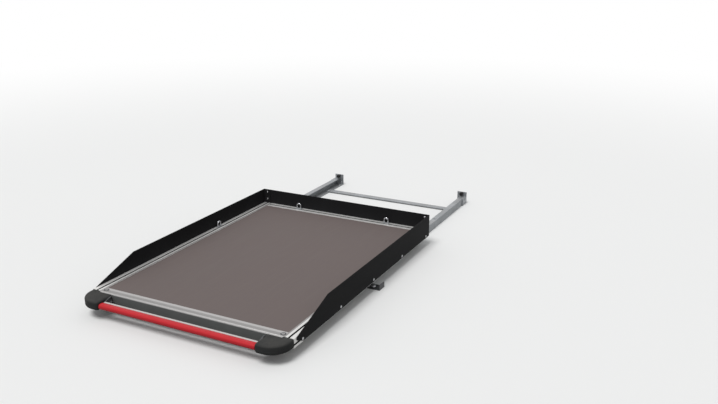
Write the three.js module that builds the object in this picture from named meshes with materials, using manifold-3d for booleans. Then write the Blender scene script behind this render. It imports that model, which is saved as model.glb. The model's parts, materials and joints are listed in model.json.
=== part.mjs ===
// A sliding load tray for the bed of a pickup: two fixed rails on the bed floor,
// and a framed deck with low boards that rolls in them and is pulled by a handle.
// Millimetres. +X is to the right, +Y towards the cab, +Z up. The origin lies on
// the bed floor, midway between the rails and midway along the pulled-out slide.
import * as THREE from "three";
import { mergeVertices } from "three/addons/utils/BufferGeometryUtils.js";
import Module from "manifold-3d";

const wasm = await Module();
wasm.setup();

// Tray and travel
const TRAY_WIDTH = 1000;
const TRAY_LENGTH = 1340;
const PULLED_OUT = 640; // the tray's front edge, behind the rails' rear ends
const TRAVEL_OUT = 200; // how much further out the tray can still go
const SLIDE_GAP = 3; // between the rails' tops and the tray's frame
const RUN_GAP = 0.5; // a roller in its channel, a stop and what meets it
const FIT_GAP = 0.3; // a shaft in its hole, a panel in its frame

// Frame profiles
const FRAME_WIDTH = 46;
const FRAME_HEIGHT = 40;
const FRAME_WALL = 2.5;
const SLOT_MOUTH = 8;
const SLOT_CAVITY = 16;
const SLOT_LIP = 2.2;
const SLOT_DEPTH = 11;
const SIDE_SLOT_RISE = 15; // the outer side's slot, above the profile's base
const EDGE_GROOVE = 1.2; // the fine line that sets off the front profile's edge
const EDGE_LIP = 9;

// Deck and the bearers under it
const DECK_THICKNESS = 9;
const DECK_INSET = 1.5; // below the frame's top
const BEARER_COUNT = 3;
const BEARER_WIDTH = 40;
const BEARER_WALL = 2;

// Boards round the load
const BOARD_THICKNESS = 3;
const BOARD_RISE = 78; // above the frame's top
const BOARD_DROP = 36; // below the frame's top
const BOARD_SLOPE = 242; // length of the sloping front end
const BOARD_TIP = 28; // from the tray's front edge to the tip
const BOARD_TIP_DEPTH = 14; // how far the tip reaches below the frame's top
const BOARD_HEEL = 72; // from the tray's front edge to the lower front corner
const BOARD_RETURN = 40; // the folded end that meets the rear board

// Fixed rails
const RAIL_LENGTH = 1440;
const RAIL_HEIGHT = 42;
const RAIL_WALL = 4;
const RAIL_TOP_WIDTH = 30;
const RAIL_FLOOR_WIDTH = 52;
const RAIL_TO_FRAME = 14; // sideways, from the rail to the tray's side profile

// Runners under the tray
const RUNNER_WIDTH = 28;
const RUNNER_HEIGHT = 33;
const RUNNER_WALL = 3;
const RUNNER_END = 20; // short of the tray's front edge
const LANE_GAP = 4; // between the rail's upper flange and the runner

// Rollers and their axles
const ROLLER_WIDTH = 17;
const ROLLER_SIDE_GAP = 5;
const ROLLER_CHAMFER = 1.5;
const AXLE_RADIUS = 4;
const SHOULDER_RADIUS = 5.5;
const AXLE_HEAD_RADIUS = 7;
const AXLE_HEAD = 4;
const AXLE_RIM = 2;
const ROLLER_PLAY = 0.5; // along the axle
const BASE_ROLLER_FIRST = 150; // from the rails' rear ends
const BASE_ROLLER_PITCH = 200;
const TRAY_ROLLER_INSET = 30; // from the tray's rear edge

// Cross bars, feet and stops of the base
const CROSS_BAR_WIDTH = 40;
const CROSS_BAR_THICKNESS = 5;
const CROSS_BAR_LAP = 20;
const CROSS_BAR_FIRST = 150;
const CROSS_BAR_LAST_INSET = 170; // from the rails' front ends
const FOOT_LENGTH = 50;
const FOOT_REACH = 82;
const FOOT_THICKNESS = 5;
const FOOT_UPRIGHT = 30;
const FOOT_LUG = 25;
const FOOT_HOLE_RADIUS = 5.5;
const FOOT_FIRST = 70; // from the rails' rear ends
const BED_BOLT_RADIUS = 4.5;
const BED_BOLT_INSET = 9; // from the rail floor's inner edge
const BED_BOLT_FROM_END = 40;
const STOP_HEIGHT = 67;
const STOP_THICKNESS = 5;
const STOP_LEG = 60;
const BUFFER_RADIUS = 10;
const BUFFER_LENGTH = 20;
const TRAVEL_STOP_LENGTH = 22;
const TRAVEL_STOP_WIDTH = 20;

// Lashing eyes
const EYE_WIRE_RADIUS = 3.2;
const EYE_INNER_WIDTH = 16;
const EYE_HEIGHT = 32;
const EYE_PLATE_LENGTH = 36;
const EYE_PLATE_WIDTH = 18;
const EYE_PLATE_THICKNESS = 3;
const SIDE_EYE_FROM_FRONT = 888;
const REAR_EYE_SPREAD = 532; // between the two eyes on the rear profile
const EYE_INSET = 14; // from the outer edge of the profile

// Handle
const HANDLE_DEPTH = 90;
const CAP_WIDTH = 114;
const CAP_HEIGHT = 38.5;
const CAP_LAP = 9; // over the side profile, which starts that much behind the front profile
const CAP_CORNER = 82;
const CAP_NOSE = 11;
const CAP_EDGE = 9;
const BAR_GAP = 2; // between a cap and the moving bar
const GRIP_RECESS = 6; // behind the caps' front
const GRIP_DEPTH = 26;
const GRIP_HEIGHT = 23;
const GRIP_ROUND = 10;
const GRIP_EASE = 3;
const CORE_THICKNESS = 10;
const CORE_HEIGHT = 20;
const CORE_WALL = 1.5;
const BAR_TOP_DROP = 10; // the bar's top, below the frame's top
const PAN_WALL = 4;
const PAN_FLOOR = 3;
const PAN_DEPTH = 24;
const PAN_DROP = 1; // below the frame's top

// Release levers, rods and lock pins
const PIVOT_BEFORE_FRAME = 14;
const PIVOT_DROP = 9; // below the frame's top
const PIVOT_RADIUS = 4;
const CRANK_ARM = 18;
const CRANK_PIN_RADIUS = 2.5;
const CRANK_PIN_LENGTH = 8;
const LEVER_THICKNESS = 5;
const LEVER_HUB = 7;
const LEVER_CRANK_HUB = 6;
const LEVER_NECK = 7; // half the lever's height where it meets the bar
const ROD_RADIUS = 3;
const ROD_EYE_RADIUS = 8;
const ROD_EYE_HOLE = 4;
const ROD_EYE_THICKNESS = 6;
const ROD_HOLE_GAP = 0.8;
const LOCK_FROM_FRONT = 900;
const PIN_RADIUS = 6;
const PIN_INSET = 15; // from the rail's outer face
const PIN_HEAD_RADIUS = 11;
const PIN_HEAD = 3;
const PIN_STROKE = 6.5;
const HOUSING_LENGTH = 36;
const HOUSING_HEIGHT = 13;
const HOUSING_LIFT = 1; // above the frame's underside
const HOUSING_SIDE = 12; // from the pin's axis to the housing's inner side
const WEDGE_PLATE = 2.5;
const WEDGE_SIDE = 15;
const WEDGE_TAIL = 20;
const WEDGE_TOP = 8;

// Facets of a full turn
const ROLLER_SIDES = 24;
const SHAFT_SIDES = 16;
const WIRE_SIDES = 8;
const WIRE_STEPS = 10;
const CORNER_STEPS = 6;

// Heights, from the bed floor
const frameBottom = RAIL_HEIGHT + SLIDE_GAP;
const frameTop = frameBottom + FRAME_HEIGHT;
const deckBottom = frameTop - DECK_INSET - DECK_THICKNESS;

// Places across the tray, from its centre plane
const halfWidth = TRAY_WIDTH / 2;
const frameInner = halfWidth - FRAME_WIDTH;
const railOuter = frameInner - RAIL_TO_FRAME;
const railWebInner = railOuter - RAIL_WALL;
const railFloorInner = railOuter - RAIL_FLOOR_WIDTH;
const runnerOuter = railOuter - RAIL_TOP_WIDTH - LANE_GAP;
const runnerInner = runnerOuter - RUNNER_WIDTH;
const runnerWebOuter = runnerInner + RUNNER_WALL;
const capInner = halfWidth - CAP_WIDTH;
const barEnd = capInner - BAR_GAP;
const leverInner = barEnd - LEVER_THICKNESS;

// Travel: closed, the rear board stands at the buffers
const travelIn =
  RAIL_LENGTH - BUFFER_LENGTH - RUN_GAP - (TRAY_LENGTH + BOARD_THICKNESS - PULLED_OUT);

// Materials
function finish(colour, roughness, metalness) {
  return new THREE.MeshStandardMaterial({ color: colour, roughness, metalness });
}
const aluminium = () => finish(0xc4c4c6, 0.35, 0.9);
const zincSteel = () => finish(0x9aa3ab, 0.4, 0.9);
const brightSteel = () => finish(0xd8dadc, 0.2, 1);
const blackPaint = () => finish(0x171818, 0.5, 0.2);
const greyPlastic = () => finish(0x4a4d4e, 0.6, 0);
const redGrip = () => finish(0xcc3a40, 0.5, 0);
const deckBoard = () => finish(0x726866, 0.7, 0);
const blackRubber = () => finish(0x1c1c1c, 0.8, 0);
const nylon = () => finish(0x2a2c2e, 0.5, 0);

// Helpers: an outline is a list of [u, v] points
const X = new THREE.Vector3(1, 0, 0);
const Y = new THREE.Vector3(0, 1, 0);
const Z = new THREE.Vector3(0, 0, 1);

function shapeOf(outline, holes = []) {
  const shape = new THREE.Shape(outline.map(([u, v]) => new THREE.Vector2(u, v)));
  for (const hole of holes) {
    shape.holes.push(new THREE.Path(hole.map(([u, v]) => new THREE.Vector2(u, v))));
  }
  return shape;
}

// Extrudes an outline of x and y from one height to another
function upright(outline, low, high, holes) {
  const geometry = new THREE.ExtrudeGeometry(shapeOf(outline, holes), {
    depth: high - low,
    bevelEnabled: false,
  });
  return geometry.translate(0, 0, low);
}

// Extrudes an outline of x and z from one y to another
function lengthwise(outline, near, far, holes) {
  const geometry = new THREE.ExtrudeGeometry(shapeOf(outline, holes), {
    depth: far - near,
    bevelEnabled: false,
  });
  const turn = new THREE.Matrix4().makeBasis(X, Z, Y.clone().negate());
  return geometry.applyMatrix4(turn).translate(0, far, 0);
}

// Extrudes an outline of y and z from one x to another
function crosswise(outline, left, right, holes) {
  const geometry = new THREE.ExtrudeGeometry(shapeOf(outline, holes), {
    depth: right - left,
    bevelEnabled: false,
  });
  const turn = new THREE.Matrix4().makeBasis(Y, Z, X);
  return geometry.applyMatrix4(turn).translate(left, 0, 0);
}

function rectangle(u0, u1, v0, v1) {
  return [
    [u0, v0],
    [u1, v0],
    [u1, v1],
    [u0, v1],
  ];
}

// Points of an arc round a centre, from one angle to another in quarter turns
function arc(u, v, radius, from, to, steps = CORNER_STEPS) {
  const points = [];
  for (let i = 0; i <= steps; i++) {
    const angle = ((from + ((to - from) * i) / steps) * Math.PI) / 2;
    points.push([u + radius * Math.cos(angle), v + radius * Math.sin(angle)]);
  }
  return points;
}

const circle = (u, v, radius, sides = SHAFT_SIDES) =>
  arc(u, v, radius, 0, 4, sides).slice(0, sides);

function block(x0, x1, y0, y1, z0, z1) {
  return upright(rectangle(x0, x1, y0, y1), z0, z1);
}

// Turns a profile of [radius, distance] about an axis that runs along X
function turnedAlongX(profile, sides) {
  const points = profile.map(([radius, along]) => new THREE.Vector2(radius, along));
  const geometry = new THREE.LatheGeometry(points, sides);
  return geometry.applyMatrix4(new THREE.Matrix4().makeBasis(Z, X, Y));
}

// The same, about an axis that runs along Z
function turnedAlongZ(profile, sides) {
  const points = profile.map(([radius, along]) => new THREE.Vector2(radius, along));
  const geometry = new THREE.LatheGeometry(points, sides);
  return geometry.applyMatrix4(new THREE.Matrix4().makeBasis(X, Z, Y.clone().negate()));
}

function solid(geometry) {
  const bare = geometry.clone();
  bare.deleteAttribute("normal");
  bare.deleteAttribute("uv");
  const merged = mergeVertices(bare);
  return new wasm.Manifold(
    new wasm.Mesh({
      numProp: 3,
      vertProperties: merged.attributes.position.array,
      triVerts: new Uint32Array(merged.index.array),
    }),
  );
}

function geometryOf(body) {
  const mesh = body.getMesh();
  const geometry = new THREE.BufferGeometry();
  geometry.setAttribute("position", new THREE.BufferAttribute(mesh.vertProperties, mesh.numProp));
  geometry.setIndex(new THREE.BufferAttribute(mesh.triVerts, 1));
  geometry.computeVertexNormals();
  return geometry;
}

function joined(first, ...others) {
  return geometryOf(others.reduce((body, other) => body.add(solid(other)), solid(first)));
}

function cut(first, ...tools) {
  return geometryOf(tools.reduce((body, tool) => body.subtract(solid(tool)), solid(first)));
}

function add(group, name, geometry, material) {
  const mesh = new THREE.Mesh(geometry, material);
  mesh.name = name;
  group.add(mesh);
  return mesh;
}

// Each sided piece is made for the right and mirrored for the left
function addPair(group, name, make, material) {
  add(group, `${name}_right`, make(), material());
  add(group, `${name}_left`, make(), material()).scale.x = -1;
}

// The base is drawn from the rails' rear ends, and the tray from its own front edge
const slide = new THREE.Group();
const base = new THREE.Group();
const tray = new THREE.Group();
tray.position.y = -PULLED_OUT;
slide.add(base, tray);
slide.position.y = (PULLED_OUT + HANDLE_DEPTH - RAIL_LENGTH - STOP_THICKNESS) / 2;

// Where the lock pins can drop into the rail: fully out, half way and closed
const lockX = railOuter - PIN_INSET;
const lockPlaces = [-TRAVEL_OUT, (travelIn - TRAVEL_OUT) / 2, travelIn].map(
  (move) => LOCK_FROM_FRONT - PULLED_OUT + move,
);

// Fixed rail: a channel open towards the middle, its floor wider than its top
function rail() {
  const section = [
    [railFloorInner, 0],
    [railOuter, 0],
    [railOuter, RAIL_HEIGHT],
    [railOuter - RAIL_TOP_WIDTH, RAIL_HEIGHT],
    [railOuter - RAIL_TOP_WIDTH, RAIL_HEIGHT - RAIL_WALL],
    [railWebInner, RAIL_HEIGHT - RAIL_WALL],
    [railWebInner, RAIL_WALL],
    [railFloorInner, RAIL_WALL],
  ];
  const channel = lengthwise(section, 0, RAIL_LENGTH);
  const lockHoles = lockPlaces.map((y) =>
    upright(circle(lockX, y, PIN_RADIUS + FIT_GAP), RAIL_HEIGHT - 2 * RAIL_WALL, RAIL_HEIGHT + RAIL_WALL),
  );
  const axleHoles = baseRollerPlaces.map((y) =>
    crosswise(
      circle(y, baseRollerHeight, AXLE_RADIUS + FIT_GAP),
      railWebInner - RAIL_WALL,
      railOuter + RAIL_WALL,
    ),
  );
  const boltHoles = [BED_BOLT_FROM_END, RAIL_LENGTH - BED_BOLT_FROM_END].map((y) =>
    upright(circle(railFloorInner + BED_BOLT_INSET, y, BED_BOLT_RADIUS), -RAIL_WALL, 2 * RAIL_WALL),
  );
  return cut(channel, ...lockHoles, ...axleHoles, ...boltHoles);
}

const baseRollerHeight = frameBottom - RUNNER_HEIGHT / 2;
const baseRollerRadius = RUNNER_HEIGHT / 2 - RUNNER_WALL - RUN_GAP;
const baseRollerPlaces = [BASE_ROLLER_FIRST, BASE_ROLLER_FIRST + BASE_ROLLER_PITCH];
const baseRollerInner = runnerWebOuter + ROLLER_SIDE_GAP;
const trayRollerHeight = RAIL_HEIGHT / 2;
const trayRollerRadius = RAIL_HEIGHT / 2 - RAIL_WALL - RUN_GAP;
const trayRollerOuter = railWebInner - ROLLER_SIDE_GAP;
const trayRollerPlace = TRAY_LENGTH - TRAY_ROLLER_INSET;

// Roller: a ring on its axle, its rims eased
function roller(radius) {
  const bore = AXLE_RADIUS + FIT_GAP;
  const profile = [
    [bore, 0],
    [radius - ROLLER_CHAMFER, 0],
    [radius, ROLLER_CHAMFER],
    [radius, ROLLER_WIDTH - ROLLER_CHAMFER],
    [radius - ROLLER_CHAMFER, ROLLER_WIDTH],
    [bore, ROLLER_WIDTH],
    [bore, 0],
  ];
  return turnedAlongX(profile, ROLLER_SIDES);
}

// Axle: a head outside the wall, a shoulder inside it, the shaft and its rim
function axle(wall, shoulder) {
  const shaft = ROLLER_WIDTH + 2 * ROLLER_PLAY;
  const profile = [
    [0, -AXLE_HEAD],
    [AXLE_HEAD_RADIUS, -AXLE_HEAD],
    [AXLE_HEAD_RADIUS, 0],
    [AXLE_RADIUS, 0],
    [AXLE_RADIUS, wall],
    [SHOULDER_RADIUS, wall],
    [SHOULDER_RADIUS, wall + shoulder],
    [AXLE_RADIUS, wall + shoulder],
    [AXLE_RADIUS, wall + shoulder + shaft],
    [AXLE_HEAD_RADIUS, wall + shoulder + shaft],
    [AXLE_HEAD_RADIUS, wall + shoulder + shaft + AXLE_RIM],
    [0, wall + shoulder + shaft + AXLE_RIM],
  ];
  return turnedAlongX(profile, SHAFT_SIDES);
}

addPair(base, "base_rail", rail, zincSteel);

baseRollerPlaces.forEach((y, i) => {
  const place = ["rear", "front"][i];
  const shoulder = railWebInner - baseRollerInner - ROLLER_WIDTH - ROLLER_PLAY;
  addPair(
    base,
    `base_roller_${place}`,
    () => roller(baseRollerRadius).translate(baseRollerInner, y, baseRollerHeight),
    nylon,
  );
  addPair(
    base,
    `base_axle_${place}`,
    () =>
      axle(RAIL_WALL, shoulder).rotateZ(Math.PI).translate(railOuter, y, baseRollerHeight),
    brightSteel,
  );
});

// Flat bars that hold the rails apart
const crossBarPlaces = [
  CROSS_BAR_FIRST,
  (CROSS_BAR_FIRST + RAIL_LENGTH - CROSS_BAR_LAST_INSET) / 2,
  RAIL_LENGTH - CROSS_BAR_LAST_INSET,
];
const crossBarEnd = railFloorInner + CROSS_BAR_LAP;
crossBarPlaces.forEach((y, i) => {
  const bar = block(
    -crossBarEnd,
    crossBarEnd,
    y - CROSS_BAR_WIDTH / 2,
    y + CROSS_BAR_WIDTH / 2,
    RAIL_WALL,
    RAIL_WALL + CROSS_BAR_THICKNESS,
  );
  add(base, `cross_bar_${["rear", "middle", "front"][i]}`, bar, zincSteel());
});

// Foot: a floor plate beside the rail, turned up at the rail and at its far end
function foot(y) {
  const outer = railOuter + FOOT_REACH;
  const section = [
    [railOuter, 0],
    [outer, 0],
    [outer, FOOT_LUG],
    [outer - FOOT_THICKNESS, FOOT_LUG],
    [outer - FOOT_THICKNESS, FOOT_THICKNESS],
    [railOuter + FOOT_THICKNESS, FOOT_THICKNESS],
    [railOuter + FOOT_THICKNESS, FOOT_UPRIGHT],
    [railOuter, FOOT_UPRIGHT],
  ];
  const bracket = lengthwise(section, y, y + FOOT_LENGTH);
  const hole = upright(
    circle(railOuter + FOOT_REACH / 2, y + FOOT_LENGTH / 2, FOOT_HOLE_RADIUS),
    -FOOT_THICKNESS,
    2 * FOOT_THICKNESS,
  );
  return cut(bracket, hole);
}
addPair(base, "mounting_foot", () => foot(FOOT_FIRST), zincSteel);

// End stop: a plate across the rail's end with a leg along the rail's outer face
function endStop() {
  const far = RAIL_LENGTH + STOP_THICKNESS;
  const plate = block(railFloorInner, railOuter + STOP_THICKNESS, RAIL_LENGTH, far, 0, STOP_HEIGHT);
  const leg = block(
    railOuter,
    railOuter + STOP_THICKNESS,
    RAIL_LENGTH - STOP_LEG,
    far,
    0,
    RAIL_HEIGHT,
  );
  return joined(plate, leg);
}
addPair(base, "end_stop", endStop, zincSteel);

function buffer() {
  const x = (railFloorInner + railOuter + STOP_THICKNESS) / 2;
  const z = STOP_HEIGHT - BUFFER_RADIUS;
  return lengthwise(circle(x, z, BUFFER_RADIUS), RAIL_LENGTH - BUFFER_LENGTH, RAIL_LENGTH);
}
addPair(base, "stop_buffer", buffer, blackRubber);

// Travel stop: a block in the rail that holds the tray's roller when it is fully out
function travelStop() {
  const far = trayRollerPlace - PULLED_OUT - TRAVEL_OUT - trayRollerRadius - 2 * RUN_GAP;
  return block(
    railWebInner - TRAVEL_STOP_WIDTH,
    railWebInner,
    far - TRAVEL_STOP_LENGTH,
    far,
    RAIL_WALL,
    RAIL_HEIGHT - RAIL_WALL,
  );
}
addPair(base, "travel_stop", travelStop, blackRubber);

// Slotted profile, centred on u = 0 with its base at v = 0: a slot in its top and
// one in its outer side
function slottedSection() {
  const half = FRAME_WIDTH / 2;
  const outline = [
    [-half, 0],
    [half, 0],
    [half, SIDE_SLOT_RISE - SLOT_MOUTH / 2],
    [half - SLOT_LIP, SIDE_SLOT_RISE - SLOT_MOUTH / 2],
    [half - SLOT_LIP, SIDE_SLOT_RISE - SLOT_CAVITY / 2],
    [half - SLOT_DEPTH, SIDE_SLOT_RISE - SLOT_CAVITY / 2],
    [half - SLOT_DEPTH, SIDE_SLOT_RISE + SLOT_CAVITY / 2],
    [half - SLOT_LIP, SIDE_SLOT_RISE + SLOT_CAVITY / 2],
    [half - SLOT_LIP, SIDE_SLOT_RISE + SLOT_MOUTH / 2],
    [half, SIDE_SLOT_RISE + SLOT_MOUTH / 2],
    [half, FRAME_HEIGHT],
    [SLOT_MOUTH / 2, FRAME_HEIGHT],
    [SLOT_MOUTH / 2, FRAME_HEIGHT - SLOT_LIP],
    [SLOT_CAVITY / 2, FRAME_HEIGHT - SLOT_LIP],
    [SLOT_CAVITY / 2, FRAME_HEIGHT - SLOT_DEPTH],
    [-SLOT_CAVITY / 2, FRAME_HEIGHT - SLOT_DEPTH],
    [-SLOT_CAVITY / 2, FRAME_HEIGHT - SLOT_LIP],
    [-SLOT_MOUTH / 2, FRAME_HEIGHT - SLOT_LIP],
    [-SLOT_MOUTH / 2, FRAME_HEIGHT],
    [-half, FRAME_HEIGHT],
  ];
  const hollowTop = FRAME_HEIGHT - SLOT_DEPTH - FRAME_WALL;
  const chamberFrom = SLOT_CAVITY / 2 + FRAME_WALL;
  const chamberTo = half - FRAME_WALL;
  const chamberLow = hollowTop + 2 * FRAME_WALL;
  const chamberTop = FRAME_HEIGHT - SLOT_LIP - FRAME_WALL;
  const holes = [
    rectangle(FRAME_WALL - half, half - SLOT_DEPTH - FRAME_WALL, FRAME_WALL, hollowTop),
    rectangle(chamberFrom, chamberTo, chamberLow, chamberTop),
    rectangle(-chamberTo, -chamberFrom, chamberLow, chamberTop),
  ];
  return { outline, holes };
}

function sideProfile() {
  const { outline, holes } = slottedSection();
  return lengthwise(outline, CAP_LAP, TRAY_LENGTH, holes).translate(
    halfWidth - FRAME_WIDTH / 2,
    0,
    frameBottom,
  );
}
addPair(tray, "side_profile", sideProfile, aluminium);

function rearProfile() {
  const { outline, holes } = slottedSection();
  return crosswise(outline, -frameInner, frameInner, holes).translate(
    0,
    TRAY_LENGTH - FRAME_WIDTH / 2,
    frameBottom,
  );
}
add(tray, "rear_profile", rearProfile(), aluminium());

// Places of the release rods, which pass through the front profile and the bearers
const pivotY = -PIVOT_BEFORE_FRAME;
const pivotZ = frameTop - PIVOT_DROP;
const rodZ = pivotZ - CRANK_ARM;
const rodX = leverInner - RUN_GAP - ROD_EYE_THICKNESS / 2;

function rodHoles(near, far) {
  return [-rodX, rodX].map((x) =>
    lengthwise(circle(x, rodZ, ROD_RADIUS + ROD_HOLE_GAP), near, far),
  );
}

// Front profile: a plain hollow bar, a fine groove behind its front edge
function frontProfile() {
  const outline = [
    [0, 0],
    [FRAME_WIDTH, 0],
    [FRAME_WIDTH, FRAME_HEIGHT],
    [EDGE_LIP + 2 * EDGE_GROOVE, FRAME_HEIGHT],
    [EDGE_LIP + EDGE_GROOVE, FRAME_HEIGHT - EDGE_GROOVE],
    [EDGE_LIP, FRAME_HEIGHT],
    [0, FRAME_HEIGHT],
  ];
  const hollow = rectangle(
    FRAME_WALL,
    FRAME_WIDTH - FRAME_WALL,
    FRAME_WALL,
    FRAME_HEIGHT - EDGE_GROOVE - FRAME_WALL,
  );
  const bar = crosswise(outline, -frameInner, frameInner, [hollow]);
  return cut(bar.translate(0, 0, frameBottom), ...rodHoles(-FRAME_WALL, FRAME_WIDTH + FRAME_WALL));
}
add(tray, "front_profile", frontProfile(), aluminium());

const deck = block(
  FIT_GAP - frameInner,
  frameInner - FIT_GAP,
  FRAME_WIDTH + FIT_GAP,
  TRAY_LENGTH - FRAME_WIDTH - FIT_GAP,
  deckBottom,
  deckBottom + DECK_THICKNESS,
);
add(tray, "deck_panel", deck, deckBoard());

// Bearers: flat tubes across the frame that carry the deck and hold the runners
function bearer(y) {
  const low = y - BEARER_WIDTH / 2;
  const high = y + BEARER_WIDTH / 2;
  const outline = rectangle(low, high, frameBottom, deckBottom);
  const hollow = rectangle(
    low + BEARER_WALL,
    high - BEARER_WALL,
    frameBottom + BEARER_WALL,
    deckBottom - BEARER_WALL,
  );
  const tube = crosswise(outline, -frameInner, frameInner, [hollow]);
  return cut(tube, ...rodHoles(low - BEARER_WALL, high + BEARER_WALL));
}
for (let i = 1; i <= BEARER_COUNT; i++) {
  const inside = TRAY_LENGTH - 2 * FRAME_WIDTH;
  const y = FRAME_WIDTH + (inside * i) / (BEARER_COUNT + 1);
  add(tray, `bearer_${i}`, bearer(y), aluminium());
}

// Runner: a channel under the frame, open towards the rail, that rides on the base rollers
function runner() {
  const low = frameBottom - RUNNER_HEIGHT;
  const section = [
    [runnerInner, low],
    [runnerOuter, low],
    [runnerOuter, low + RUNNER_WALL],
    [runnerWebOuter, low + RUNNER_WALL],
    [runnerWebOuter, frameBottom - RUNNER_WALL],
    [runnerOuter, frameBottom - RUNNER_WALL],
    [runnerOuter, frameBottom],
    [runnerInner, frameBottom],
  ];
  const channel = lengthwise(section, RUNNER_END, TRAY_LENGTH);
  const hole = crosswise(
    circle(trayRollerPlace, trayRollerHeight, AXLE_RADIUS + FIT_GAP),
    runnerInner - RUNNER_WALL,
    runnerWebOuter + RUNNER_WALL,
  );
  return cut(channel, hole);
}
addPair(tray, "tray_runner", runner, aluminium);

const trayShoulder = trayRollerOuter - ROLLER_WIDTH - ROLLER_PLAY - runnerWebOuter;
addPair(
  tray,
  "tray_roller",
  () =>
    roller(trayRollerRadius).translate(
      trayRollerOuter - ROLLER_WIDTH,
      trayRollerPlace,
      trayRollerHeight,
    ),
  nylon,
);
addPair(
  tray,
  "tray_axle",
  () =>
    axle(RUNNER_WALL, trayShoulder).translate(runnerInner, trayRollerPlace, trayRollerHeight),
  brightSteel,
);

// Side board: a plate on the profile's outer face, sloping to a tip in front,
// with a folded end that meets the rear board
const boardTop = frameTop + BOARD_RISE;
const boardBottom = frameTop - BOARD_DROP;
function sideBoard() {
  const far = TRAY_LENGTH + BOARD_THICKNESS;
  const outline = [
    [BOARD_HEEL, boardBottom],
    [far, boardBottom],
    [far, boardTop],
    [BOARD_TIP + BOARD_SLOPE, boardTop],
    [BOARD_TIP, frameTop],
    [BOARD_TIP, frameTop - BOARD_TIP_DEPTH],
  ];
  const plate = crosswise(outline, halfWidth, halfWidth + BOARD_THICKNESS);
  const fold = block(
    halfWidth - BOARD_RETURN,
    halfWidth + BOARD_THICKNESS / 2,
    TRAY_LENGTH - BOARD_THICKNESS,
    TRAY_LENGTH,
    frameTop,
    boardTop,
  );
  return joined(plate, fold);
}
addPair(tray, "side_board", sideBoard, blackPaint);

const rearBoard = block(
  -halfWidth,
  halfWidth,
  TRAY_LENGTH,
  TRAY_LENGTH + BOARD_THICKNESS,
  boardBottom,
  boardTop,
);
add(tray, "rear_board", rearBoard, blackPaint());

// Lashing eye: a wire arch on a small plate, standing along Y
function lashingEye() {
  const reach = EYE_INNER_WIDTH / 2 + EYE_WIRE_RADIUS;
  const spring = EYE_HEIGHT - EYE_WIRE_RADIUS - reach;
  const arch = new THREE.CurvePath();
  const foot1 = new THREE.Vector3(0, -reach, EYE_PLATE_THICKNESS / 2);
  const foot2 = new THREE.Vector3(0, reach, EYE_PLATE_THICKNESS / 2);
  const points = [foot1];
  for (const [y, z] of arc(0, spring, reach, 2, 0, 2 * CORNER_STEPS)) {
    points.push(new THREE.Vector3(0, y, z));
  }
  points.push(foot2);
  for (let i = 1; i < points.length; i++) {
    arch.add(new THREE.LineCurve3(points[i - 1], points[i]));
  }
  const wire = new THREE.ExtrudeGeometry(shapeOf(circle(0, 0, EYE_WIRE_RADIUS, WIRE_SIDES)), {
    steps: 2 * WIRE_STEPS,
    extrudePath: arch,
  });
  const plate = block(
    -EYE_PLATE_WIDTH / 2,
    EYE_PLATE_WIDTH / 2,
    -EYE_PLATE_LENGTH / 2,
    EYE_PLATE_LENGTH / 2,
    0,
    EYE_PLATE_THICKNESS,
  );
  return joined(plate, wire);
}
addPair(
  tray,
  "lashing_eye_side",
  () => lashingEye().translate(halfWidth - EYE_INSET, SIDE_EYE_FROM_FRONT, frameTop),
  brightSteel,
);
addPair(
  tray,
  "lashing_eye_rear",
  () =>
    lashingEye()
      .rotateZ(Math.PI / 2)
      .translate(REAR_EYE_SPREAD / 2, TRAY_LENGTH - EYE_INSET, frameTop),
  brightSteel,
);

// Handle cap: a moulded corner with a wide outer radius, its edges eased, cut square
// where it meets the profiles, with the boss that the release lever turns on
function handleCap() {
  const inner = capInner + CAP_EDGE;
  const outer = halfWidth - CAP_EDGE;
  const cornerX = halfWidth - CAP_CORNER;
  const cornerY = CAP_CORNER - HANDLE_DEPTH;
  const outline = [
    [inner, CAP_LAP],
    ...arc(capInner + CAP_NOSE, CAP_NOSE - HANDLE_DEPTH, CAP_NOSE - CAP_EDGE, 2, 3),
    ...arc(cornerX, cornerY, CAP_CORNER - CAP_EDGE, 3, 4, 2 * CORNER_STEPS),
    [outer, CAP_LAP],
  ];
  const body = new THREE.ExtrudeGeometry(shapeOf(outline), {
    depth: CAP_HEIGHT - 2 * CAP_EDGE,
    bevelEnabled: true,
    bevelThickness: CAP_EDGE,
    bevelSize: CAP_EDGE,
    bevelSegments: CORNER_STEPS / 2,
  }).translate(0, 0, frameTop - CAP_HEIGHT + CAP_EDGE);
  const low = frameBottom - CAP_HEIGHT;
  const high = frameTop + CAP_HEIGHT;
  const behindFront = block(capInner - CAP_EDGE, frameInner, 0, CAP_LAP + 2 * CAP_EDGE, low, high);
  const behindSide = block(
    capInner - 2 * CAP_EDGE,
    halfWidth + CAP_EDGE,
    CAP_LAP,
    CAP_LAP + 3 * CAP_EDGE,
    low - CAP_EDGE,
    high + CAP_EDGE,
  );
  const boss = crosswise(
    circle(pivotY, pivotZ, PIVOT_RADIUS),
    leverInner - RUN_GAP,
    capInner + CAP_EDGE,
  );
  return geometryOf(
    solid(body).subtract(solid(behindFront)).subtract(solid(behindSide)).add(solid(boss)),
  );
}
addPair(tray, "handle_cap", handleCap, greyPlastic);

// Handle pan: the wall and ledge behind the fingers
const panEnd = capInner - FIT_GAP;
const panSection = [
  [-PAN_DEPTH, frameBottom - PAN_FLOOR],
  [0, frameBottom - PAN_FLOOR],
  [0, frameTop - PAN_DROP],
  [-PAN_WALL, frameTop - PAN_DROP],
  [-PAN_WALL, frameBottom],
  [-PAN_DEPTH, frameBottom],
];
const pan = cut(crosswise(panSection, -panEnd, panEnd), ...rodHoles(-2 * PAN_WALL, PAN_WALL));
add(tray, "handle_pan", pan, greyPlastic());

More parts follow.
